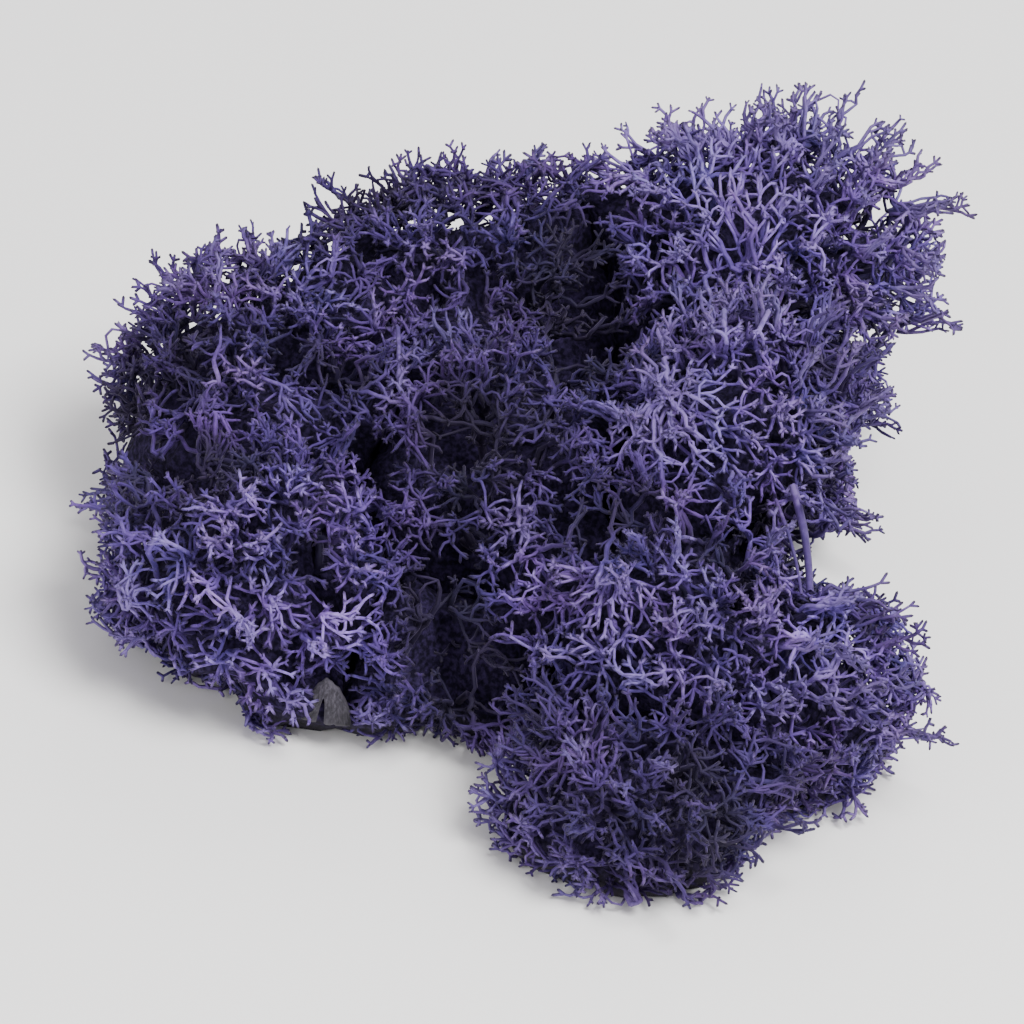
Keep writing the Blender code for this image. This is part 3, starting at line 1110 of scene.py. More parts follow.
class CrownSet:
    """The few different crowns of spikes that the twig ends carry."""

    SHAPES = (
        CrownShape(1, 1.10 * MM, 8.0),
        CrownShape(2, 1.15 * MM, 34.0),
        CrownShape(2, 0.95 * MM, 42.0),
        CrownShape(3, 1.05 * MM, 40.0),
        CrownShape(3, 0.90 * MM, 48.0),
        CrownShape(4, 0.95 * MM, 52.0),
        CrownShape(2, 1.30 * MM, 28.0),
        CrownShape(3, 1.20 * MM, 36.0),
    )
    SIDES = 3
    FOOT_RADIUS = 0.21 * MM
    TOP_RADIUS = 0.19 * MM
    TOP_SHARE = 0.84
    TURN_SPREAD = 0.3
    TILT_SPREAD = (0.75, 1.25)
    LENGTH_SPREAD = (0.75, 1.2)

    def __init__(self, seed: int) -> None:
        """Build the crowns into a collection of their own.

        Args:
            seed: The seed of their random numbers.
        """
        self.draw = random.Random(seed)
        self.collection = bpy.data.collections.new("twig_crowns")
        for number, shape in enumerate(self.SHAPES):
            mesh = self.build(f"twig_crown_{number}", shape)
            self.collection.objects.link(bpy.data.objects.new(mesh.name, mesh))

    def build(self, name: str, shape: CrownShape) -> bpy.types.Mesh:
        """Build one crown, which stands on the origin and points along +Z.

        Args:
            name: The mesh's name.
            shape: Its number of spikes and their size.

        Returns:
            The mesh, with how near each point is to a spike's end.
        """
        points: list[Vector] = []
        faces: list[tuple[int, ...]] = []
        nearness: list[float] = []
        start_turn = self.draw.uniform(0.0, math.tau)
        for spike in range(shape.spikes):
            turn = start_turn + math.tau * spike / shape.spikes
            turn += self.draw.uniform(-self.TURN_SPREAD, self.TURN_SPREAD)
            tilt = math.radians(shape.tilt * self.draw.uniform(*self.TILT_SPREAD))
            length = shape.length * self.draw.uniform(*self.LENGTH_SPREAD)
            aim = Matrix.Rotation(turn, 3, "Z") @ Matrix.Rotation(tilt, 3, "Y")
            first = len(points)
            for level, radius in ((0.0, self.FOOT_RADIUS), (self.TOP_SHARE, self.TOP_RADIUS)):
                for side in range(self.SIDES):
                    angle = math.tau * side / self.SIDES
                    ring = Vector((math.cos(angle) * radius, math.sin(angle) * radius, 0.0))
                    points.append(aim @ (ring + Vector((0.0, 0.0, length * level))))
                    nearness.append(level)
            points.append(aim @ Vector((0.0, 0.0, length)))
            nearness.append(1.0)
            for side in range(self.SIDES):
                after = (side + 1) % self.SIDES
                low, low_after = first + side, first + after
                high, high_after = low + self.SIDES, low_after + self.SIDES
                faces.append((low, low_after, high_after, high))
                faces.append((high, high_after, first + 2 * self.SIDES))
        mesh = bpy.data.meshes.new(name)
        mesh.from_pydata(points, [], faces)
        mesh.shade_smooth()
        store(mesh, "tip", nearness)
        return mesh

    def remove(self) -> None:
        """Remove the crowns once they are part of the heads."""
        for crown in list(self.collection.objects):
            remove_object(crown)
        bpy.data.collections.remove(self.collection)


class StalkNodes:
    """The Geometry Nodes tree that turns a head's paths into round stalks with crowns."""

    SIDES = 4

    def __init__(self) -> None:
        """Build the tree."""
        self.tree = bpy.data.node_groups.new("moss_stalks", "GeometryNodeTree")
        self.add_sockets()
        inputs = add_node(self.tree, "NodeGroupInput").outputs
        stalks = self.add_stalks(inputs)
        crowns = self.add_crowns(inputs)
        core = add_node(self.tree, "GeometryNodeObjectInfo", {"Object": inputs["Core"]})
        growing = add_node(self.tree, "GeometryNodeJoinGeometry")
        for part in (crowns, stalks):
            wire(self.tree, growing, {"Geometry": part})
        real = add_node(
            self.tree, "GeometryNodeRealizeInstances", {"Geometry": growing.outputs["Geometry"]}
        )
        dyed = self.finish(real.outputs["Geometry"], inputs["Moss"])
        matted = self.finish(core.outputs["Geometry"], inputs["Felt"])
        whole = add_node(self.tree, "GeometryNodeJoinGeometry")
        for part in (matted, dyed):
            wire(self.tree, whole, {"Geometry": part})
        add_node(self.tree, "NodeGroupOutput", {"Geometry": whole.outputs["Geometry"]})

    def finish(self, source: Socket, material: Socket) -> Socket:
        """Shade a part smooth and give it its material.

        Args:
            source: The part.
            material: The material.

        Returns:
            The finished part.
        """
        smooth = add_node(self.tree, "GeometryNodeSetShadeSmooth", {"Geometry": source})
        finished = add_node(
            self.tree, "GeometryNodeSetMaterial",
            {"Geometry": smooth.outputs["Geometry"], "Material": material},
        )
        return finished.outputs["Geometry"]

    def add_sockets(self) -> None:
        """Give the tree its named inputs and its output."""
        sockets = (
            ("Geometry", "NodeSocketGeometry", None),
            ("Core", "NodeSocketObject", None),
            ("Crowns", "NodeSocketCollection", None),
            ("Crown Kinds", "NodeSocketInt", len(CrownSet.SHAPES)),
            ("Stalk Sides", "NodeSocketInt", self.SIDES),
            ("Thickness", "NodeSocketFloat", 1.0),
            ("Least Crown", "NodeSocketFloat", 0.8),
            ("Largest Crown", "NodeSocketFloat", 1.25),
            ("Seed", "NodeSocketInt", 1),
            ("Moss", "NodeSocketMaterial", None),
            ("Felt", "NodeSocketMaterial", None),
        )
        for name, kind, value in sockets:
            socket = self.tree.interface.new_socket(name, in_out="INPUT", socket_type=kind)
            if value is not None:
                socket.default_value = value
        self.tree.interface.new_socket(
            "Geometry", in_out="OUTPUT", socket_type="NodeSocketGeometry"
        )

    def add_stalks(self, inputs: Any) -> Socket:
        """Add the nodes that draw a round stalk along each path.

        Args:
            inputs: The tree's inputs.

        Returns:
            The stalks.
        """
        curves = add_node(self.tree, "GeometryNodeMeshToCurve", {"Mesh": inputs["Geometry"]})
        radius = add_node(
            self.tree, "GeometryNodeInputNamedAttribute", values={"Name": "radius"},
            data_type="FLOAT",
        )
        scale = add_node(
            self.tree, "ShaderNodeMath",
            {0: radius.outputs["Attribute"], 1: inputs["Thickness"]}, operation="MULTIPLY",
        )
        profile = add_node(
            self.tree, "GeometryNodeCurvePrimitiveCircle",
            {"Resolution": inputs["Stalk Sides"]}, {"Radius": 1.0},
        )
        tubes = add_node(
            self.tree, "GeometryNodeCurveToMesh",
            {"Curve": curves.outputs["Curve"], "Profile Curve": profile.outputs["Curve"],
             "Scale": scale.outputs["Value"]},
        )
        return tubes.outputs["Mesh"]

    def add_crowns(self, inputs: Any) -> Socket:
        """Add the nodes that put a crown of spikes on every twig end.

        Args:
            inputs: The tree's inputs.

        Returns:
            The crowns, as instances.
        """
        kinds = add_node(
            self.tree, "GeometryNodeCollectionInfo", {"Collection": inputs["Crowns"]},
            {"Separate Children": True, "Reset Children": True},
        )
        last = add_node(
            self.tree, "ShaderNodeMath", {0: inputs["Crown Kinds"]}, {1: 1.0},
            operation="SUBTRACT",
        )
        kind = add_node(
            self.tree, "FunctionNodeRandomValue",
            {INT_MAX: last.outputs["Value"], "Seed": inputs["Seed"]}, {INT_MIN: 0},
            data_type="INT",
        )
        size = add_node(
            self.tree, "FunctionNodeRandomValue",
            {FLOAT_MIN: inputs["Least Crown"], FLOAT_MAX: inputs["Largest Crown"],
             "Seed": inputs["Seed"]},
            data_type="FLOAT",
        )
        turn = add_node(
            self.tree, "FunctionNodeRandomValue", {"Seed": inputs["Seed"]},
            {FLOAT_MIN: 0.0, FLOAT_MAX: math.tau}, data_type="FLOAT",
        )
        heading = add_node(
            self.tree, "GeometryNodeInputNamedAttribute", values={"Name": "heading"},
            data_type="FLOAT_VECTOR",
        )
        aimed = add_node(
            self.tree, "FunctionNodeAlignRotationToVector",
            {"Vector": heading.outputs["Attribute"]}, axis="Z",
        )
        spin = add_node(
            self.tree, "FunctionNodeAxisAngleToRotation", {"Angle": turn.outputs[FLOAT_VALUE]},
            {"Axis": (0.0, 0.0, 1.0)},
        )
        rotation = add_node(
            self.tree, "FunctionNodeRotateRotation",
            {"Rotation": aimed.outputs["Rotation"], "Rotate By": spin.outputs["Rotation"]},
            rotation_space="LOCAL",
        )
        carries = add_node(
            self.tree, "GeometryNodeInputNamedAttribute", values={"Name": "end"},
            data_type="BOOLEAN",
        )
        crowns = add_node(
            self.tree, "GeometryNodeInstanceOnPoints",
            {"Points": inputs["Geometry"], "Selection": carries.outputs["Attribute"],
             "Instance": kinds.outputs["Instances"],
             "Instance Index": kind.outputs[INT_VALUE],
             "Rotation": rotation.outputs["Rotation"], "Scale": size.outputs[FLOAT_VALUE]},
            {"Pick Instance": True},
        )
        return crowns.outputs["Instances"]

    def apply(self, target: bpy.types.Object, values: dict[str, Any]) -> bpy.types.Mesh:
        """Run the tree on an object's mesh.

        Args:
            target: The object whose mesh holds the paths.
            values: Values for the tree's inputs, by name.

        Returns:
            The finished mesh.
        """
        modifier = target.modifiers.new("stalks", "NODES")
        modifier.node_group = self.tree
        for item in self.tree.interface.items_tree:
            if item.in_out == "INPUT" and item.name in values:
                modifier[item.identifier] = values[item.name]
        graph = bpy.context.evaluated_depsgraph_get()
        made = bpy.data.meshes.new_from_object(target.evaluated_get(graph))
        target.modifiers.remove(modifier)
        return made


@dataclass(frozen=True)
class MossFinish:
    """Reindeer moss, dyed violet and kept soft with glycerine.

    The stalks are hollow felted tubes, matt and slightly woolly, which take less dye towards their
    dead foot and are darker deep inside the clump by painted shade.  Their outer ends are lighter
    by painted light, painted shade darkens them at seams, hollows and marked places, and the tiny
    spore ends stay nearly black.
    """

    name: str = "moss"
    # From deep to crest the colours run from dark to light: the dye fading to the dead foot, with
    # painted shade deep inside and a painted highlight on the outermost twigs.
    deep: Colour = srgb("1b122f")
    foot: Colour = srgb("281c42")
    stalk: Colour = srgb("3a2960")
    twig: Colour = srgb("4e3a76")
    crest: Colour = srgb("69578f")
    spore: Colour = srgb("17101f")
    roughness: float = 0.72
    sheen: float = 0.15
    specular: float = 0.28
    sheen_roughness: float = 0.45
    sheen_tint: Colour = srgb("b5a6d8")
    patch_size: float = 9.0 * MM
    fleck_size: float = 1.1 * MM
    grain_size: float = 0.16 * MM
    grain_depth: float = 0.03 * MM
    grain_strength: float = 0.8
    noise_roughness: float = 0.55
    fleck_range: Range = (0.3, 0.7, -0.14, 0.14)
    hue_range: Range = (0.3, 0.7, 0.485, 0.515)
    spore_range: Range = (0.45, 0.90, 0.0, 0.85)

    def build(self) -> bpy.types.Material:
        """Build the material.

        Returns:
            The moss material.
        """
        material, tree, shader = new_material(self.name)
        coords = add_node(tree, "ShaderNodeTexCoord").outputs["Object"]
        sizes = (self.patch_size, 2.0), (self.fleck_size, 3.0), (self.grain_size, 2.0)
        patches, flecks, grain = (
            add_node(
                tree, "ShaderNodeTexNoise", {"Vector": coords},
                {"Scale": 1.0 / size, "Detail": detail, "Roughness": self.noise_roughness},
            ).outputs["Fac"]
            for size, detail in sizes
        )
        growth, tone, tip = (
            add_node(tree, "ShaderNodeAttribute", attribute_name=name).outputs["Fac"]
            for name in ("growth", "tone", "tip")
        )
        ranges = (flecks, self.fleck_range), (patches, self.hue_range), (tip, self.spore_range)
        uneven, hue, spores = (
            add_node(
                tree, "ShaderNodeMapRange", {"Value": source}, dict(zip(RANGE_INPUTS, ends))
            ).outputs["Result"]
            for source, ends in ranges
        )
        level = add_node(
            tree, "ShaderNodeMath", {0: growth, 1: uneven}, operation="ADD", use_clamp=True
        )
        # The ramp paints light and shade: dark deep inside and where shade is painted, light on the
        # outermost twigs.
        dye = add_ramp(
            tree,
            level.outputs["Value"],
            ((0.0, self.deep), (0.30, self.foot), (0.62, self.stalk), (0.86, self.twig),
             (1.0, self.crest)),
        )
        # The tone carries painted light and shade as well as the dye's own unevenness.
        toned = add_node(
            tree, "ShaderNodeHueSaturation", {"Color": dye, "Hue": hue, "Value": tone}
        )
        ended = add_node(
            tree, "ShaderNodeMix", {MIX_SHARE: spores, MIX_A: toned.outputs["Color"]},
            {MIX_B: self.spore}, data_type="RGBA",
        )
        relief = add_node(
            tree, "ShaderNodeBump", {"Height": grain},
            {"Distance": self.grain_depth, "Strength": self.grain_strength},
        )
        wire(
            tree, shader,
            {"Base Color": ended.outputs[MIX_RESULT], "Normal": relief.outputs["Normal"]},
            {"Roughness": self.roughness, "Specular IOR Level": self.specular,
             "Sheen Weight": self.sheen, "Sheen Roughness": self.sheen_roughness,
             "Sheen Tint": self.sheen_tint},
        )
        return material


@dataclass(frozen=True)
class FeltFinish:
    """The dead, matted inside of the moss: almost black, which is partly its dead stalks and partly
    painted shade of the deep tangle, and dry grey at its cut foot.
    """

    name: str = "moss_felt"
    dark: Colour = srgb("141020")
    light: Colour = srgb("33294b")
    dry: Colour = srgb("3d3b3e")
    lump_size: float = 0.7 * MM
    lump_depth: float = 0.35 * MM
    dry_height: float = 5.0 * MM
    dryness: float = 0.8
    roughness: float = 1.0
    specular: float = 0.1

    def build(self) -> bpy.types.Material:
        """Build the material.

        Returns:
            The core's material.
        """
        material, tree, shader = new_material(self.name)
        coords = add_node(tree, "ShaderNodeTexCoord").outputs["Object"]
        lumps = add_node(
            tree, "ShaderNodeTexNoise", {"Vector": coords},
            {"Scale": 1.0 / self.lump_size, "Detail": 4.0},
        ).outputs["Fac"]
        colour = add_ramp(tree, lumps, ((0.4, self.dark), (0.7, self.light)))
        level = add_node(tree, "ShaderNodeSeparateXYZ", {"Vector": coords})
        foot = add_node(
            tree, "ShaderNodeMapRange", {"Value": level.outputs["Z"]},
            dict(zip(RANGE_INPUTS, (0.0, self.dry_height, self.dryness, 0.0))),
        )
        faded = add_node(
            tree, "ShaderNodeMix", {MIX_SHARE: foot.outputs["Result"], MIX_A: colour},
            {MIX_B: self.dry}, data_type="RGBA",
        )
        relief = add_node(
            tree, "ShaderNodeBump", {"Height": lumps},
            {"Distance": self.lump_depth, "Strength": 1.0},
        )
        wire(
            tree, shader,
            {"Base Color": faded.outputs[MIX_RESULT], "Normal": relief.outputs["Normal"]},
            {"Roughness": self.roughness, "Specular IOR Level": self.specular},
        )
        return material


@dataclass(frozen=True)
class Tuft:
    """A small fan of stalks: the place that it spreads round, its root and its size.

    Around its bald eye no twig ends stand, so the stalks show from outside.
    """

    place: Array
    eye: Array
    root: Array
    radius: float
    bald: float
    rise: float
    tone: float
    star: bool = False


@dataclass
class MossHead:
    """One head of the clump: its tufts of forked stalks round a dark matted core."""

    clump: Clump
    number: int
    rule: StalkRule = StalkRule()
    candidates: int = 12000
    overlap: float = 0.08
    seeds: tuple[int, int] = (100, 200)
    tuft_places: int = 3000
    antler_places: int = 2500
    raggedness: float = 1.8 * MM
    ragged_range: tuple[float, float] = (-0.30, 0.70)
    sight_shares: tuple[float, ...] = (0.3, 0.6, 0.9)
    groove_depth: float = 2.4 * MM
    groove_width: float = 1.5 * MM
    tuft_radius: float = 2.4 * MM
    tuft_rise: float = 1.5 * MM
    tuft_unevenness: float = 0.8 * MM
    tuft_lean: float = 2.4 * MM
    tuft_tones: tuple[float, float] = (0.84, 1.16)
    tuft_balds: tuple[float, float] = (-0.4, 0.35)
    end_tones: tuple[float, float] = (0.85, 1.15)
    lowest_end: float = 0.5 * MM
    root_depths: tuple[float, float] = (2.0 * MM, 4.2 * MM)
    star_room: float = 0.8
    star_depth: float = 1.4 * MM
    star_bald: float = 0.18
    star_tone: float = 1.06
    star_glow: float = 0.10
    star_odds: tuple[float, float] = (0.15, 0.95)
    chance_hollows: int = 5
    hollow_sizes: tuple[float, float] = (1.2 * MM, 2.2 * MM)
    hollow_edge: tuple[float, float] = (1.1, 0.45)
    hollow_sink: float = 0.08
    # Painted shade on the twigs round the hollows.
    hollow_shade: float = 0.40
    hollow_spread: float = 1.6
    standout_tone: float = 1.02
    standout_depth: float = 2.6 * MM
    standout_lift: float = 0.7 * MM
    standout_twigs: int = 2
    standout_reach: float = 1.5 * MM
    antler_spacing: float = 4.8 * MM
    antler_heights: tuple[float, float] = (1.0 * MM, 2.6 * MM)
    antler_extra: float = 1.8 * MM
    antler_spread: float = 1.6 * MM
    antler_depth: float = 3.5 * MM
    # Painted shade: the antlers towards the right are coloured darker.
    antler_painted_shade: float = 0.38
    antler_odds: tuple[float, float] = (0.4, 0.6)
    antler_splay: float = 0.35
    antler_tones: tuple[float, float] = (0.9, 1.15)
    antler_twigs: tuple[int, int] = (3, 6)
    lowest_antler: float = 6.0 * MM
    exposed_right: float = 0.04
    link_share: float = 0.75
    link_lengths: tuple[float, float] = (1.6 * MM, 4.0 * MM)
    link_level: float = 0.84
    link_radius: float = 0.20 * MM
    link_bulge: float = 0.30
    link_steps: int = 3
    # Painted shade at the marked shady places.
    shade_depth: float = 0.52
    # Painted light at the marked light places.
    glow_gain: float = 0.48
    inner_depths: tuple[float, float] = (2.2 * MM, 6.5 * MM)
    inner_spacing: float = 1.9 * MM
    inner_reach: tuple[float, float] = (1.2 * MM, 5.0 * MM)
    inner_tones: tuple[float, float] = (0.8, 1.1)
    inner_hollows: float = 0.6
    inner_step: float = 0.02
    inner_neighbours: int = 8
    trunk_height: float = 0.35
    most_children: int = 4
    core_depth: float = 6.5 * MM
    core_least: float = 0.45
    core_tries: int = 12
    core_shrink: float = 0.88
    core_lead: float = -0.12
    core_hollow: float = 0.30
    core_floor: float = 0.2 * MM
    # The core comes near the outside at the foot: painted shade there.
    mat_depth: float = 1.5 * MM
    core_lumps: float = 0.16
    core_lump_size: float = 3.0 * MM
    # Painted shade that darkens the twigs deep inside a head, along with its darker dead foot.
    fade_depth: float = 8.0 * MM
    # Painted shade at the seams between heads.
    seam_shade: float = 0.20
    seam_width: float = 0.22
    least_level: float = 0.6 * MM
    floor_level: float = 0.05 * MM
    low_level: float = 2.4 * MM
    least_rise: float = 0.1

    def __post_init__(self) -> None:
        """Set up the head's own random numbers."""
        self.envelope = self.clump.envelopes[self.number]
        self.name = self.envelope.size.name
        self.draw = random.Random(self.seeds[0] + self.number)
        self.numbers = np.random.default_rng(self.seeds[1] + self.number)
        self.tree = StalkTree(self.rule, self.draw)
        self.ends: list[int] = []
        self.hollows = [(place, size) for place, size, _ in self.clump.marked(Mark.HOLLOW)]
        self.places, self.directions = self.scatter()

    def scatter(self) -> tuple[Array, Array]:
        """Scatter places over the head's part of the clump's outside.

        Returns:
            The places, and the directions that face out there.
        """
        ways = self.numbers.normal(size=(self.candidates, 3))
        ways /= np.linalg.norm(ways, axis=1)[:, None]
        ways = ways[ways[:, 2] > self.envelope.foot_level]
        starts, directions = self.envelope.rays(ways)
        lengths = self.clump.reach(starts, directions)
        places = starts + directions * lengths[:, None]
        slack = self.overlap * self.numbers.uniform(0.0, 1.0, len(places))
        kept = (self.clump.lead(self.number, places) > -slack) & (lengths < self.clump.far)
        return places[kept], directions[kept]

    def plan_tufts(self) -> list[Tuft]:
        """Plan the head's tufts: first the open stars, then others between them.

        Returns:
            The tufts.
        """
        tufts = []
        room = np.ones(len(self.places), dtype=bool)
        for spot, eye in zip(SPOTS, self.clump.places):
            if spot.mark is not Mark.STAR or self.clump.lead(self.number, eye[None, :])[0] <= 0.0:
                continue
            size = spot.size * MM
            middle = self.clump.seen_place(spot.right + spot.lean[0], spot.up + spot.lean[1])
            room &= np.linalg.norm(self.places - middle, axis=1) > self.star_room * size
            inward = self.envelope.inner_place(eye) - eye
            root = eye + inward / np.linalg.norm(inward) * self.star_depth
            bald = size * self.star_bald
            tufts.append(Tuft(middle, eye, root, size, bald, 0.0, self.star_tone, True))
        rows = np.flatnonzero(room)[:self.tuft_places]
        for row in rows[Sieve(self.rule.tuft_spacing).pick(self.places[rows])]:
            place = self.places[row]
            depth = self.draw.uniform(*self.root_depths)
            rise = self.draw.uniform(-1.0, 1.0) * self.tuft_rise
            tone = self.draw.uniform(*self.tuft_tones)
            lean = np.array([self.draw.uniform(-1.0, 1.0) for _ in range(3)]) * self.tuft_lean
            root = place - self.directions[row] * depth + lean
            bald = self.tuft_radius * self.draw.uniform(*self.tuft_balds)
            tufts.append(Tuft(place, place, root, self.tuft_radius, bald, rise, tone))
        return tufts

    def open_hollows(self) -> None:
        """Add some small hollows by chance to the marked ones."""
        for row in self.draw.sample(range(len(self.places)), self.chance_hollows):
            self.hollows.append((self.places[row], self.draw.uniform(*self.hollow_sizes)))

    def place_ends(self, tufts: list[Tuft]) -> list[Array]:
        """Place the outer twig ends of each tuft.

        Args:
            tufts: The head's tufts.

        Returns:
            The places of each tuft's ends.
        """
        places = self.places
        middles = np.array([tuft.place for tuft in tufts])
        radii = np.array([tuft.radius for tuft in tufts])
        gaps = np.linalg.norm(places[:, None, :] - middles[None, :, :], axis=2)
        uneven = self.numbers.uniform(-1.0, 1.0, gaps.shape) * self.tuft_unevenness
        edges = gaps + uneven - radii[None, :]
        order = np.argsort(edges, axis=1)[:, :2]
        rows = np.arange(len(places))
        groove = edges[rows, order[:, 1]] - edges[rows, order[:, 0]]
        depth = np.exp(-groove / self.groove_width) * self.groove_depth
        depth += self.numbers.uniform(*self.ragged_range, len(places)) * self.raggedness
        depth -= np.array([tuft.rise for tuft in tufts])[order[:, 0]]
        spots = places - self.directions * depth[:, None]
        balds = np.array([tuft.bald for tuft in tufts])
        kept = spots[:, 2] > self.lowest_end
        eyes = np.array([tuft.eye for tuft in tufts])[order[:, 0]]
        bare = np.linalg.norm(places - eyes, axis=1)
        kept &= bare > balds[order[:, 0]]
        kept &= ~self.in_hollows(spots) & ~self.in_view_gaps(spots)
        roots = np.array([tuft.root for tuft in tufts])[order[:, 0]]
        for share in self.sight_shares:
            kept &= ~self.in_view_gaps(roots * share + spots * (1.0 - share))
        rows = rows[kept]
        spacing = self.rule.end_spacing * self.envelope.size.coarseness
        picked = rows[Sieve(spacing).pick(spots[rows])]
        own = order[picked, 0]
        stars = np.array([tuft.star for tuft in tufts])[own]
        least, rise = self.star_odds
        odds = np.where(stars, least + rise * bare[picked] / radii[own], 1.0)
        picked = picked[self.numbers.uniform(0.0, 1.0, len(picked)) < odds]
        return [spots[picked[order[picked, 0] == number]] for number in range(len(tufts))]

    def in_view_gaps(
        self, places: Array, marks: tuple[Mark, ...] = (Mark.GAP, Mark.CLEAR)
    ) -> Array:
        """Say which places the viewer would see in a gap or in a place that is kept clear.

        Args:
            places: Places, one a row.
            marks: The marks that count.

        Returns:
            Whether each place is in one.
        """
        flat = self.clump.view.flatten(places) / MM
        inside = np.zeros(len(places), dtype=bool)
        for spot in SPOTS:
            if spot.mark in marks:
                inside |= np.hypot(flat[:, 0] - spot.right, flat[:, 1] - spot.up) < spot.size
        return inside

    def in_hollows(self, places: Array, share: float = 1.0) -> Array:
        """Say which places lie in a hollow, whose edge is uneven.

        Args:
            places: Places, one a row.
            share: How much of each hollow's size counts.

        Returns:
            Whether each place is in a hollow.
        """
        inside = np.zeros(len(places), dtype=bool)
        mean, fray = self.hollow_edge
        edge = share * (mean + fray * FRAYS.height(places))
        for middle, size in self.hollows:
            deeper = middle + (self.envelope.inner_place(middle) - middle) * self.hollow_sink
            inside |= np.linalg.norm(places - deeper, axis=1) < size * edge
        return inside

    def grow_tufts(self, tufts: list[Tuft], ends: list[Array]) -> list[int]:
        """Grow every tuft from its ends down to its root.

        Args:
            tufts: The head's tufts.
            ends: The places of each tuft's ends.

        Returns:
            The numbers of the tufts' roots.
        """
        roots = []
        for tuft, spots in zip(tufts, ends):
            if len(spots) == 0:
                continue
            # The tone carries the head's painted light and shade.
            tone = tuft.tone * self.envelope.size.painted_lightness
            members = [
                self.tree.add(Vector(spot), 0, tone * self.draw.uniform(*self.end_tones))
                for spot in spots
            ]
            self.ends += members
            rounds = self.rule.star_rounds if tuft.star else self.rule.tuft_rounds
            roots.append(self.tree.grow_tuft(members, Vector(tuft.root), tone, rounds))
        return roots

    def grow_standouts(self) -> list[int]:
        """Grow the stalks that stand out in the front view, each with a few side twigs.

        Returns:
            The numbers of their roots.
        """
        roots = []
        # The tone carries the head's painted light and shade.
        tone = self.standout_tone * self.envelope.size.painted_lightness
        towards = Vector(self.clump.view.place).normalized()
        for path in STANDOUT_STALKS:
            places = [self.clump.seen_place(right, up) for right, up in path]
            if self.clump.lead(self.number, places[0][None, :])[0] <= 0.0:
                continue
            foot = Vector(places[0])
            inward = (Vector(self.envelope.inner_place(places[0])) - foot).normalized()
            member = self.tree.add(foot + inward * self.standout_depth, 4, tone)
            roots.append(member)
            for number, place in enumerate(places):
                last = number == len(places) - 1
                spot = Vector(place) + towards * self.standout_lift
                member = self.tree.add(spot, 0 if last else 3, tone, member)
                if last:
                    self.ends.append(member)
                for _ in range(0 if last else self.standout_twigs):
                    twig = spot + self.tree.aside() * self.standout_reach
                    self.ends.append(self.tree.add(twig, 0, tone, member))
        return roots

    def grow_trunks(self, roots: list[int]) -> None:
        """Join the tufts' roots down to the head's own root.

        Args:
            roots: The numbers of the tufts' roots.
        """
        middle = self.envelope.middle
        base = Vector((middle[0], middle[1], middle[2] * self.trunk_height))
        members = roots
        for stage in self.rule.trunk_rounds:
            if len(members) > 3:
                members = self.tree.join(members, base, stage)
        self.tree.hang(members, self.tree.add(base, len(self.rule.radii) - 1, 1.0))

    def grow_antlers(self) -> None:
        """Grow single small antlers that stand out of the others, most of them on the right."""
        forks = [fork for fork, level in enumerate(self.tree.rounds) if level > 1]
        finder = self.tree.finder(forks)
        least, rise = self.antler_odds
        for row in Sieve(self.antler_spacing).pick(self.places[:self.antler_places]):
            place = Vector(self.places[row])
            exposed = min(max(place.x / self.exposed_right, 0.0), 1.0)
            if self.draw.random() > least + rise * exposed or place.z < self.lowest_antler:
                continue
            aside = self.tree.aside() * self.antler_splay
            out = (Vector(self.directions[row]) + aside).normalized()
            height = self.draw.uniform(*self.antler_heights) + exposed * self.antler_extra
            top = place + out * height
            if self.in_view_gaps(np.array([top]))[0]:
                continue
            root = place - out * self.antler_depth
            # The tone carries the head's painted light and shade.
            tone = self.draw.uniform(*self.antler_tones) * self.envelope.size.painted_lightness
            # Painted shade on the antlers towards the right.
            tone *= 1.0 - self.antler_painted_shade * exposed
            members = [
                self.tree.add(top + self.tree.aside() * self.antler_spread, 0, tone)
                for _ in range(self.draw.randint(*self.antler_twigs))
            ]
            self.ends += members
            foot = self.tree.grow_tuft(members, root, tone, self.rule.tuft_rounds[:2])
            _, fork, _ = finder.find(root)
            self.tree.hang([foot], fork)

    def grow_inner_twigs(self) -> None:
        """Grow short side twigs that fill the room under the outer ones."""
        depths = self.numbers.uniform(*self.inner_depths, len(self.places))
        spots = self.places - self.directions * depths[:, None]
        rows = Sieve(self.inner_spacing).pick(spots)
        kept = (spots[rows, 2] > self.least_level) & ~self.in_view_gaps(spots[rows])
        rows = rows[kept & ~self.in_hollows(spots[rows], self.inner_hollows)]
        finder = self.tree.finder([fork for fork, level in enumerate(self.tree.rounds) if level])
        fork_fills = self.clump.fill(np.array(self.tree.places))
        spot_fills = self.clump.fill(spots)
        children = [len(members) for members in self.tree.children()]
        least, most = self.inner_reach
        for row in rows:
            spot = Vector(spots[row])
            for _, fork, gap in finder.find_n(spot, self.inner_neighbours):
                deeper = fork_fills[fork] < spot_fills[row] - self.inner_step
                if least < gap < most and deeper and children[fork] < self.most_children:
                    tone = self.tree.tones[fork] * self.draw.uniform(*self.inner_tones)
                    self.ends.append(self.tree.add(spot, 0, tone, fork))
                    children[fork] += 1
                    break

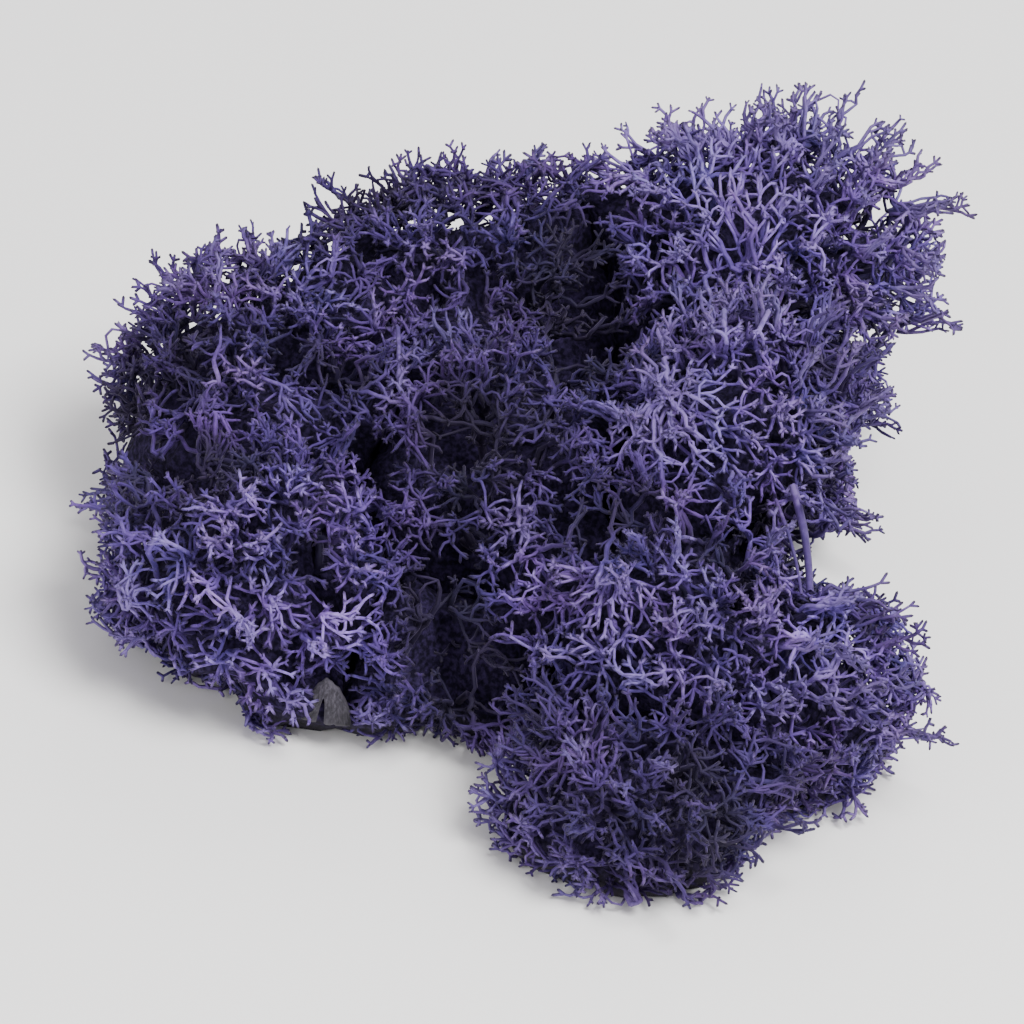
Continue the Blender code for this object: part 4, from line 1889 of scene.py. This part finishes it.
    def weave(self, paths: Paths) -> None:
        """Weave thin bent stalks between neighbouring forks, so that the twigs form a net.

        Args:
            paths: Where the stalks are added.
        """
        levels = self.clump.fill(np.array(self.tree.places))
        forks = [
            fork for fork, stage in enumerate(self.tree.rounds)
            if 1 <= stage <= 4 and levels[fork] > self.link_level
        ]
        finder = self.tree.finder(forks)
        least, most = self.link_lengths
        for fork in self.draw.sample(forks, int(len(forks) * self.link_share)):
            start = self.tree.places[fork]
            found = finder.find_n(start, self.rule.neighbours)
            near = [other for _, other, gap in found if least < gap < most]
            if not near:
                continue
            other = self.draw.choice(near)
            end = self.tree.places[other]
            out = (start - Vector(self.envelope.inner_place(np.array(start)))).normalized()
            bulge = (out + self.tree.aside()) * ((end - start).length * self.link_bulge)
            middle = start.lerp(end, 0.5) + bulge
            if self.in_view_gaps(np.array([start, middle, end])).any():
                continue
            for step in range(self.link_steps + 1):
                share = step / self.link_steps
                point = start.lerp(end, share) + bulge * math.sin(math.pi * share)
                tone = self.tree.tones[fork] * (1.0 - share) + self.tree.tones[other] * share
                paths.add_point(point, self.link_radius, tone, step > 0)

    def growth(self, points: Array) -> Array:
        """Say how far out points are, 0 deep inside the head and 1 on its outside, lowered where
        shade is painted.

        Args:
            points: Points, one a row.

        Returns:
            One number for each point.
        """
        # Painted shade deep inside the head, along with the dye's darker dead foot.
        depth = (1.0 - self.clump.fill(points)) * self.envelope.reach.mean()
        level = 1.0 - np.maximum(depth, 0.0) / self.fade_depth
        # Painted shade at the seams between heads.
        lead = self.clump.lead(self.number, points)
        level -= self.seam_shade * np.clip(1.0 - lead / self.seam_width, 0.0, 1.0)
        # Painted shade at the marked places.
        level -= self.shade_depth * self.clump.nearness(Mark.SHADE, points)
        level += self.star_glow * np.minimum(self.clump.nearness(Mark.STAR, points), 1.0)
        # Painted shade round the hollows.
        for middle, size in self.hollows:
            away = ((points - middle) ** 2).sum(axis=1) / (self.hollow_spread * size) ** 2
            level -= self.hollow_shade * np.exp(-away)
        return np.clip(level, 0.0, 1.0)

    def make_paths(self) -> bpy.types.Object:
        """Turn the tree into a mesh of paths and loose twig ends.

        Returns:
            An object with that mesh and its point values.
        """
        drawn = StalkPaths(self.tree)
        paths = drawn.draw_all()
        self.weave(paths)
        for stalk in BARE_STALKS:
            if self.name == stalk.head:
                stalk.draw(self.clump, paths)
        places = [self.tree.places[end] for end in self.ends]
        points = np.array([tuple(point) for point in paths.points + places])
        points[:, 2] = np.maximum(points[:, 2], self.least_level)
        count = len(paths.points)
        mesh = bpy.data.meshes.new(self.name)
        mesh.from_pydata(points.tolist(), paths.edges, [])
        headings = np.zeros((len(points), 3))
        headings[count:] = [tuple(drawn.headings[end]) for end in self.ends]
        low = points[:, 2] < self.low_level
        headings[low, 2] = np.maximum(headings[low, 2], self.least_rise)
        is_end = np.zeros(len(points), dtype=bool)
        is_end[count:] = True
        tones = np.array(paths.tones + [self.tree.tones[end] for end in self.ends])
        # Painted light at the marked places, in the tone.
        tones *= 1.0 + self.glow_gain * self.clump.nearness(Mark.GLOW, points)
        store(mesh, "radius", np.array(paths.radii + [0.0] * len(places)))
        store(mesh, "tone", tones)
        store(mesh, "growth", self.growth(points))
        store(mesh, "end", is_end, "BOOLEAN")
        store(mesh, "heading", headings.ravel(), "FLOAT_VECTOR", "vector")
        return add_object(self.name, mesh)

    def make_core(self) -> bpy.types.Object:
        """Build the dark, lumpy mat that fills the inside of the head, whose darkness is partly
        painted shade.

        Returns:
            An object with the core's mesh.
        """
        bm = bmesh.new()
        bmesh.ops.create_icosphere(bm, subdivisions=4, radius=1.0)
        ways = np.array([tuple(vert.co.normalized()) for vert in bm.verts])
        starts, directions = self.envelope.rays(ways)
        lengths = self.clump.reach(starts, directions)
        high = np.clip(starts[:, 2] / self.envelope.middle[2], 0.0, 1.0)
        # Near the foot and at the MAT places the core comes close to the outside: painted shade.
        depths = self.mat_depth + (self.core_depth - self.mat_depth) * high
        outside = starts + directions * lengths[:, None]
        depths *= 1.0 - np.minimum(self.clump.nearness(Mark.MAT, outside), 1.0)
        lengths = np.maximum(lengths - depths, lengths * self.core_least)
        for _ in range(self.core_tries):
            points = starts + directions * lengths[:, None]
            outside = self.clump.lead(self.number, points) < self.core_lead
            outside |= self.in_view_gaps(points, (Mark.THIN,))
            lengths = np.where(outside, lengths * self.core_shrink, lengths)
        points = starts + directions * lengths[:, None]
        for middle, size in self.hollows:
            away = ((points - middle) ** 2).sum(axis=1) / (self.core_depth + size) ** 2
            lengths *= 1.0 - self.core_hollow * np.exp(-away)
        below = ways[:, 2] < self.envelope.foot_level
        narrow = np.sqrt((1.0 - ways[:, 2] ** 2) / (1.0 - self.envelope.foot_level ** 2))
        lengths = np.where(below, lengths * np.clip(narrow, 0.0, 1.0), lengths)
        points = starts + directions * lengths[:, None]
        for vert, point, start in zip(bm.verts, points, starts):
            place = Vector(point)
            lump = noise.noise(place / self.core_lump_size) * self.core_lumps
            vert.co = Vector(start) + (place - Vector(start)) * (1.0 + lump)
            vert.co.z = max(vert.co.z, self.core_floor)
        mesh = bpy.data.meshes.new(f"{self.name}_core")
        bm.to_mesh(mesh)
        bm.free()
        return add_object(mesh.name, mesh)

    def build(
        self,
        nodes: StalkNodes,
        crowns: CrownSet,
        moss: bpy.types.Material,
        felt: bpy.types.Material,
    ) -> bpy.types.Object:
        """Grow the head and turn it into one mesh.

        Args:
            nodes: The Geometry Nodes tree.
            crowns: The crowns of spikes.
            moss: The stalks' finish.
            felt: The core's finish.

        Returns:
            The finished head.
        """
        self.open_hollows()
        tufts = self.plan_tufts()
        roots = self.grow_tufts(tufts, self.place_ends(tufts))
        self.grow_trunks(roots + self.grow_standouts())
        self.grow_antlers()
        self.grow_inner_twigs()
        made = self.make_paths()
        core = self.make_core()
        values = {"Core": core, "Crowns": crowns.collection, "Seed": self.number + 1}
        finished = nodes.apply(made, values | {"Moss": moss, "Felt": felt})
        places = np.zeros(len(finished.vertices) * 3)
        finished.vertices.foreach_get("co", places)
        places[2::3] = np.maximum(places[2::3], self.floor_level)
        finished.vertices.foreach_set("co", places)
        rough = made.data
        made.data = finished
        finished.name = self.name
        bpy.data.meshes.remove(rough)
        remove_object(core)
        return made

    def dress(self, piece: bpy.types.Object) -> None:
        """Let the piece take its node's place.

        Args:
            piece: The finished head.
        """
        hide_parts(self.name)
        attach(piece, "root")


@dataclass(frozen=True)
class BarkFinish:
    """Weathered pine bark: dry grey cork with fibres along it, darker at its foot by painted shade
    and lighter at its top by painted light.
    """

    name: str = "bark"
    dark: Colour = srgb("17151b")
    middle: Colour = srgb("2e2b33")
    light: Colour = srgb("49454e")
    rim: Colour = srgb("4d4953")
    roughness: float = 0.88
    fibre_width: float = 0.30 * MM
    fibre_length: float = 2.6 * MM
    fibre_depth: float = 0.06 * MM
    # Painted shade towards the foot and painted light towards the top.
    shade_foot_level: float = 4.2 * MM
    light_top_level: float = 8.8 * MM
    shades: tuple[float, float] = (0.5, 1.6)

    def build(self) -> bpy.types.Material:
        """Build the material.

        Returns:
            The bark material.
        """
        material, tree, shader = new_material(self.name)
        coords = add_node(tree, "ShaderNodeTexCoord").outputs["Object"]
        across = 1.0 / self.fibre_width
        along = 1.0 / self.fibre_length
        stretched = add_node(
            tree, "ShaderNodeMapping", {"Vector": coords}, {"Scale": (across, across, along)}
        )
        fibres = add_node(
            tree, "ShaderNodeTexNoise", {"Vector": stretched.outputs["Vector"]},
            {"Scale": 1.0, "Detail": 4.0, "Roughness": 0.6},
        ).outputs["Fac"]
        cork = add_ramp(
            tree, fibres, ((0.30, self.dark), (0.50, self.middle), (0.72, self.light))
        )
        torn = add_node(tree, "ShaderNodeAttribute", attribute_name="rim").outputs["Fac"]
        whole = add_node(
            tree, "ShaderNodeMix", {MIX_SHARE: torn, MIX_A: cork}, {MIX_B: self.rim},
            data_type="RGBA",
        )
        # Painted shade and light: the colour is darker towards the foot and lighter towards the
        # top.
        level = add_node(tree, "ShaderNodeSeparateXYZ", {"Vector": coords})
        shade = add_node(
            tree, "ShaderNodeMapRange", {"Value": level.outputs["Z"]},
            dict(zip(RANGE_INPUTS, (self.shade_foot_level, self.light_top_level, *self.shades))),
        )
        shaded = add_node(
            tree, "ShaderNodeHueSaturation",
            {"Color": whole.outputs[MIX_RESULT], "Value": shade.outputs["Result"]},
        )
        relief = add_node(
            tree, "ShaderNodeBump", {"Height": fibres},
            {"Distance": self.fibre_depth, "Strength": 1.0},
        )
        wire(
            tree, shader,
            {"Base Color": shaded.outputs["Color"], "Normal": relief.outputs["Normal"]},
            {"Roughness": self.roughness},
        )
        return material


@dataclass(frozen=True)
class BarkFlake:
    """The small cupped flake of bark that is caught in the foot of the front left head."""

    name: str = "bark_flake"
    middle: Triple = (-0.0203, -0.0320, 0.0068)
    width: float = 6.3 * MM
    height: float = 6.0 * MM
    thickness: float = 1.1 * MM
    cup: float = 1.8 * MM
    slit: float = 0.85 * MM
    slit_top: float = 0.60
    peak: float = 0.20
    peak_place: float = -0.7 * MM
    lean: float = math.radians(28.0)
    columns: int = 48
    rows: int = 30
    least_height: float = 0.5 * MM
    torn_depth: float = 0.35 * MM
    torn_size: float = 0.7 * MM
    torn_rows: tuple[float, float] = (3.7, 9.2)
    ridge_depth: float = 0.16 * MM
    ridge_width: float = 0.45 * MM
    ridge_stretch: float = 5.0
    rim_width: float = 0.12
    rim_thinning: float = 0.75

    def edges(self, across: float) -> tuple[float, float]:
        """Find the flake's lower and upper edge, with its slit and its torn outline.

        Args:
            across: How far from the flake's middle line.

        Returns:
            The heights of both edges.
        """
        offset = across - self.peak_place
        extent = self.width / 2.0 - self.peak_place * math.copysign(1.0, offset)
        away = min(abs(offset) / extent, 1.0)
        arch = math.sqrt(1.0 - away ** 2) * (1.0 - self.peak) + (1.0 - away) * self.peak
        arch *= self.height
        tear, lower = (
            noise.noise(Vector((across / self.torn_size, 0.0, row))) * self.torn_depth
            for row in self.torn_rows
        )
        lower = max(lower, 0.0)
        if abs(offset) < self.slit / 2.0:
            lower += self.height * self.slit_top * math.sqrt(1.0 - abs(offset) * 2.0 / self.slit)
        return lower, max(arch + tear, lower + self.least_height)

    def point(self, column: int, row: int, front: bool) -> tuple[Vector, float]:
        """Find one point of the front or the back.

        Args:
            column: Its column, from left to right.
            row: Its row, from the foot up.
            front: Whether it is on the side that faces out.

        Returns:
            The point in the flake's own frame, and how near it is to the rim.
        """
        half = self.width / 2.0
        across = -half * math.cos(math.pi * column / self.columns)
        lower, upper = self.edges(across)
        share = row / self.rows
        up = lower + (upper - lower) * share
        inset = min(share, 1.0 - share, column / self.columns, 1.0 - column / self.columns)
        rim = max(1.0 - inset / self.rim_width, 0.0)
        bulge = self.thickness / 2.0 * (1.0 - self.rim_thinning * rim * rim)
        grain = Vector((across / self.ridge_width, 0.0, up / self.ridge_width / self.ridge_stretch))
        bulge += noise.noise(grain) * self.ridge_depth * (1.0 - rim)
        depth = self.cup * ((across / half) ** 2 - 0.5)
        return Vector((across, depth - bulge if front else depth + bulge, up)), rim

    def build(self, bark: bpy.types.Material) -> bpy.types.Object:
        """Build the flake.

        Args:
            bark: Its finish.

        Returns:
            The flake.
        """
        place = Matrix.Translation(self.middle) @ Matrix.Rotation(-self.lean, 4, "X")
        place @= Matrix.Translation((0.0, 0.0, -self.height / 2.0))
        points, rims, faces = [], [], []
        for front in (True, False):
            for column in range(self.columns + 1):
                for row in range(self.rows + 1):
                    point, rim = self.point(column, row, front)
                    points.append(place @ point)
                    rims.append(rim)
        tall = self.rows + 1
        back = tall * (self.columns + 1)
        for column in range(self.columns):
            for row in range(self.rows):
                corner = column * tall + row
                face = (corner, corner + tall, corner + tall + 1, corner + 1)
                faces.append(face)
                faces.append(tuple(back + number for number in reversed(face)))
            foot = column * tall
            top = foot + self.rows
            faces.append((foot, foot + back, foot + back + tall, foot + tall))
            faces.append((top, top + tall, top + tall + back, top + back))
        last = self.columns * tall
        for row in range(self.rows):
            faces.append((row, row + 1, row + 1 + back, row + back))
            faces.append((last + row, last + row + back, last + row + back + 1, last + row + 1))
        mesh = bpy.data.meshes.new(self.name)
        mesh.from_pydata(points, [], faces)
        mesh.shade_smooth()
        store(mesh, "rim", rims)
        mesh.materials.append(bark)
        return add_object(self.name, mesh)

    def dress(self, piece: bpy.types.Object) -> None:
        """Let the piece take its node's place.

        Args:
            piece: The finished flake.
        """
        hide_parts(self.name)
        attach(piece, "root")


@dataclass(frozen=True)
class PaleFloor:
    """A plain pale floor of matt paper."""

    half_width: float = 2.0
    colour: Colour = srgb("f3f2f0")
    roughness: float = 0.9

    def build(self) -> bpy.types.Object:
        """Build the floor.

        Returns:
            The floor.
        """
        mesh = bpy.data.meshes.new("floor")
        side = self.half_width
        corners = [(-side, -side, 0.0), (side, -side, 0.0), (side, side, 0.0), (-side, side, 0.0)]
        mesh.from_pydata(corners, [], [(0, 1, 2, 3)])
        floor = add_object("floor", mesh)
        material, tree, shader = new_material("floor_paper")
        wire(tree, shader, None, {"Base Color": self.colour, "Roughness": self.roughness})
        mesh.materials.append(material)
        return floor


@dataclass(frozen=True)
class SoftLight:
    """One softbox: where it stands, how large it is and how strong."""

    name: str
    place: Triple
    width: float
    power: float
    colour: Triple = (1.0, 1.0, 1.0)
    aim: Triple = (0.0, 0.0, 0.02)

    def build(self) -> bpy.types.Object:
        """Build the light, turned to the clump."""
        light = bpy.data.lights.new(self.name, "AREA")
        light.size = self.width
        light.energy = self.power
        light.color = self.colour
        made = add_object(self.name, light)
        aim = Vector(self.aim) - Vector(self.place)
        turn = aim.to_track_quat("-Z", "Y").to_matrix().to_4x4()
        made.matrix_world = Matrix.Translation(self.place) @ turn
        return made


@dataclass(frozen=True)
class Studio:
    """The floor, the lights and the plain surroundings."""

    floor: PaleFloor = PaleFloor()
    lights: tuple[SoftLight, ...] = (
        SoftLight("key_softbox", (0.30, -0.25, 0.80), 0.40, 13.6),
        SoftLight("fill_softbox", (-0.60, -0.70, 0.35), 0.60, 5.0),
        SoftLight("side_softbox", (0.85, 0.05, 0.30), 0.50, 2.5),
        SoftLight("back_softbox", (0.10, 0.80, 0.70), 0.50, 2.5),
    )
    surround: Colour = srgb("e6e4ea")
    surround_strength: float = 0.77

    def build(self) -> None:
        """Build the floor, the lights and the surroundings."""
        self.floor.build()
        for light in self.lights:
            light.build()
        world = bpy.data.worlds.new("studio")
        world.use_nodes = True
        background = world.node_tree.nodes["Background"]
        values = {"Color": self.surround, "Strength": self.surround_strength}
        wire(world.node_tree, background, None, values)
        bpy.context.scene.world = world


def write_sizes() -> None:
    """Update the view layer."""
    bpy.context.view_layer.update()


def main() -> None:
    """Build the clump and its studio."""
    logging.basicConfig(level=logging.INFO, format="%(message)s")
    crowns = CrownSet(CROWN_SEED)
    nodes = StalkNodes()
    moss = MossFinish().build()
    felt = FeltFinish().build()
    clump = Clump([Envelope(size, number) for number, size in enumerate(HEAD_SIZES)])
    for number in range(len(HEAD_SIZES)):
        head = MossHead(clump, number)
        piece = head.build(nodes, crowns, moss, felt)
        head.dress(piece)
        triangles = sum(len(face.vertices) - 2 for face in piece.data.polygons)
        LOG.info("%s: %d ends, %d triangles", head.name, len(head.ends), triangles)
    crowns.remove()
    flake = BarkFlake()
    flake.dress(flake.build(BarkFinish().build()))
    Studio().build()
    clump.view.build()
    write_sizes()


if __name__ == "__main__":
    main()
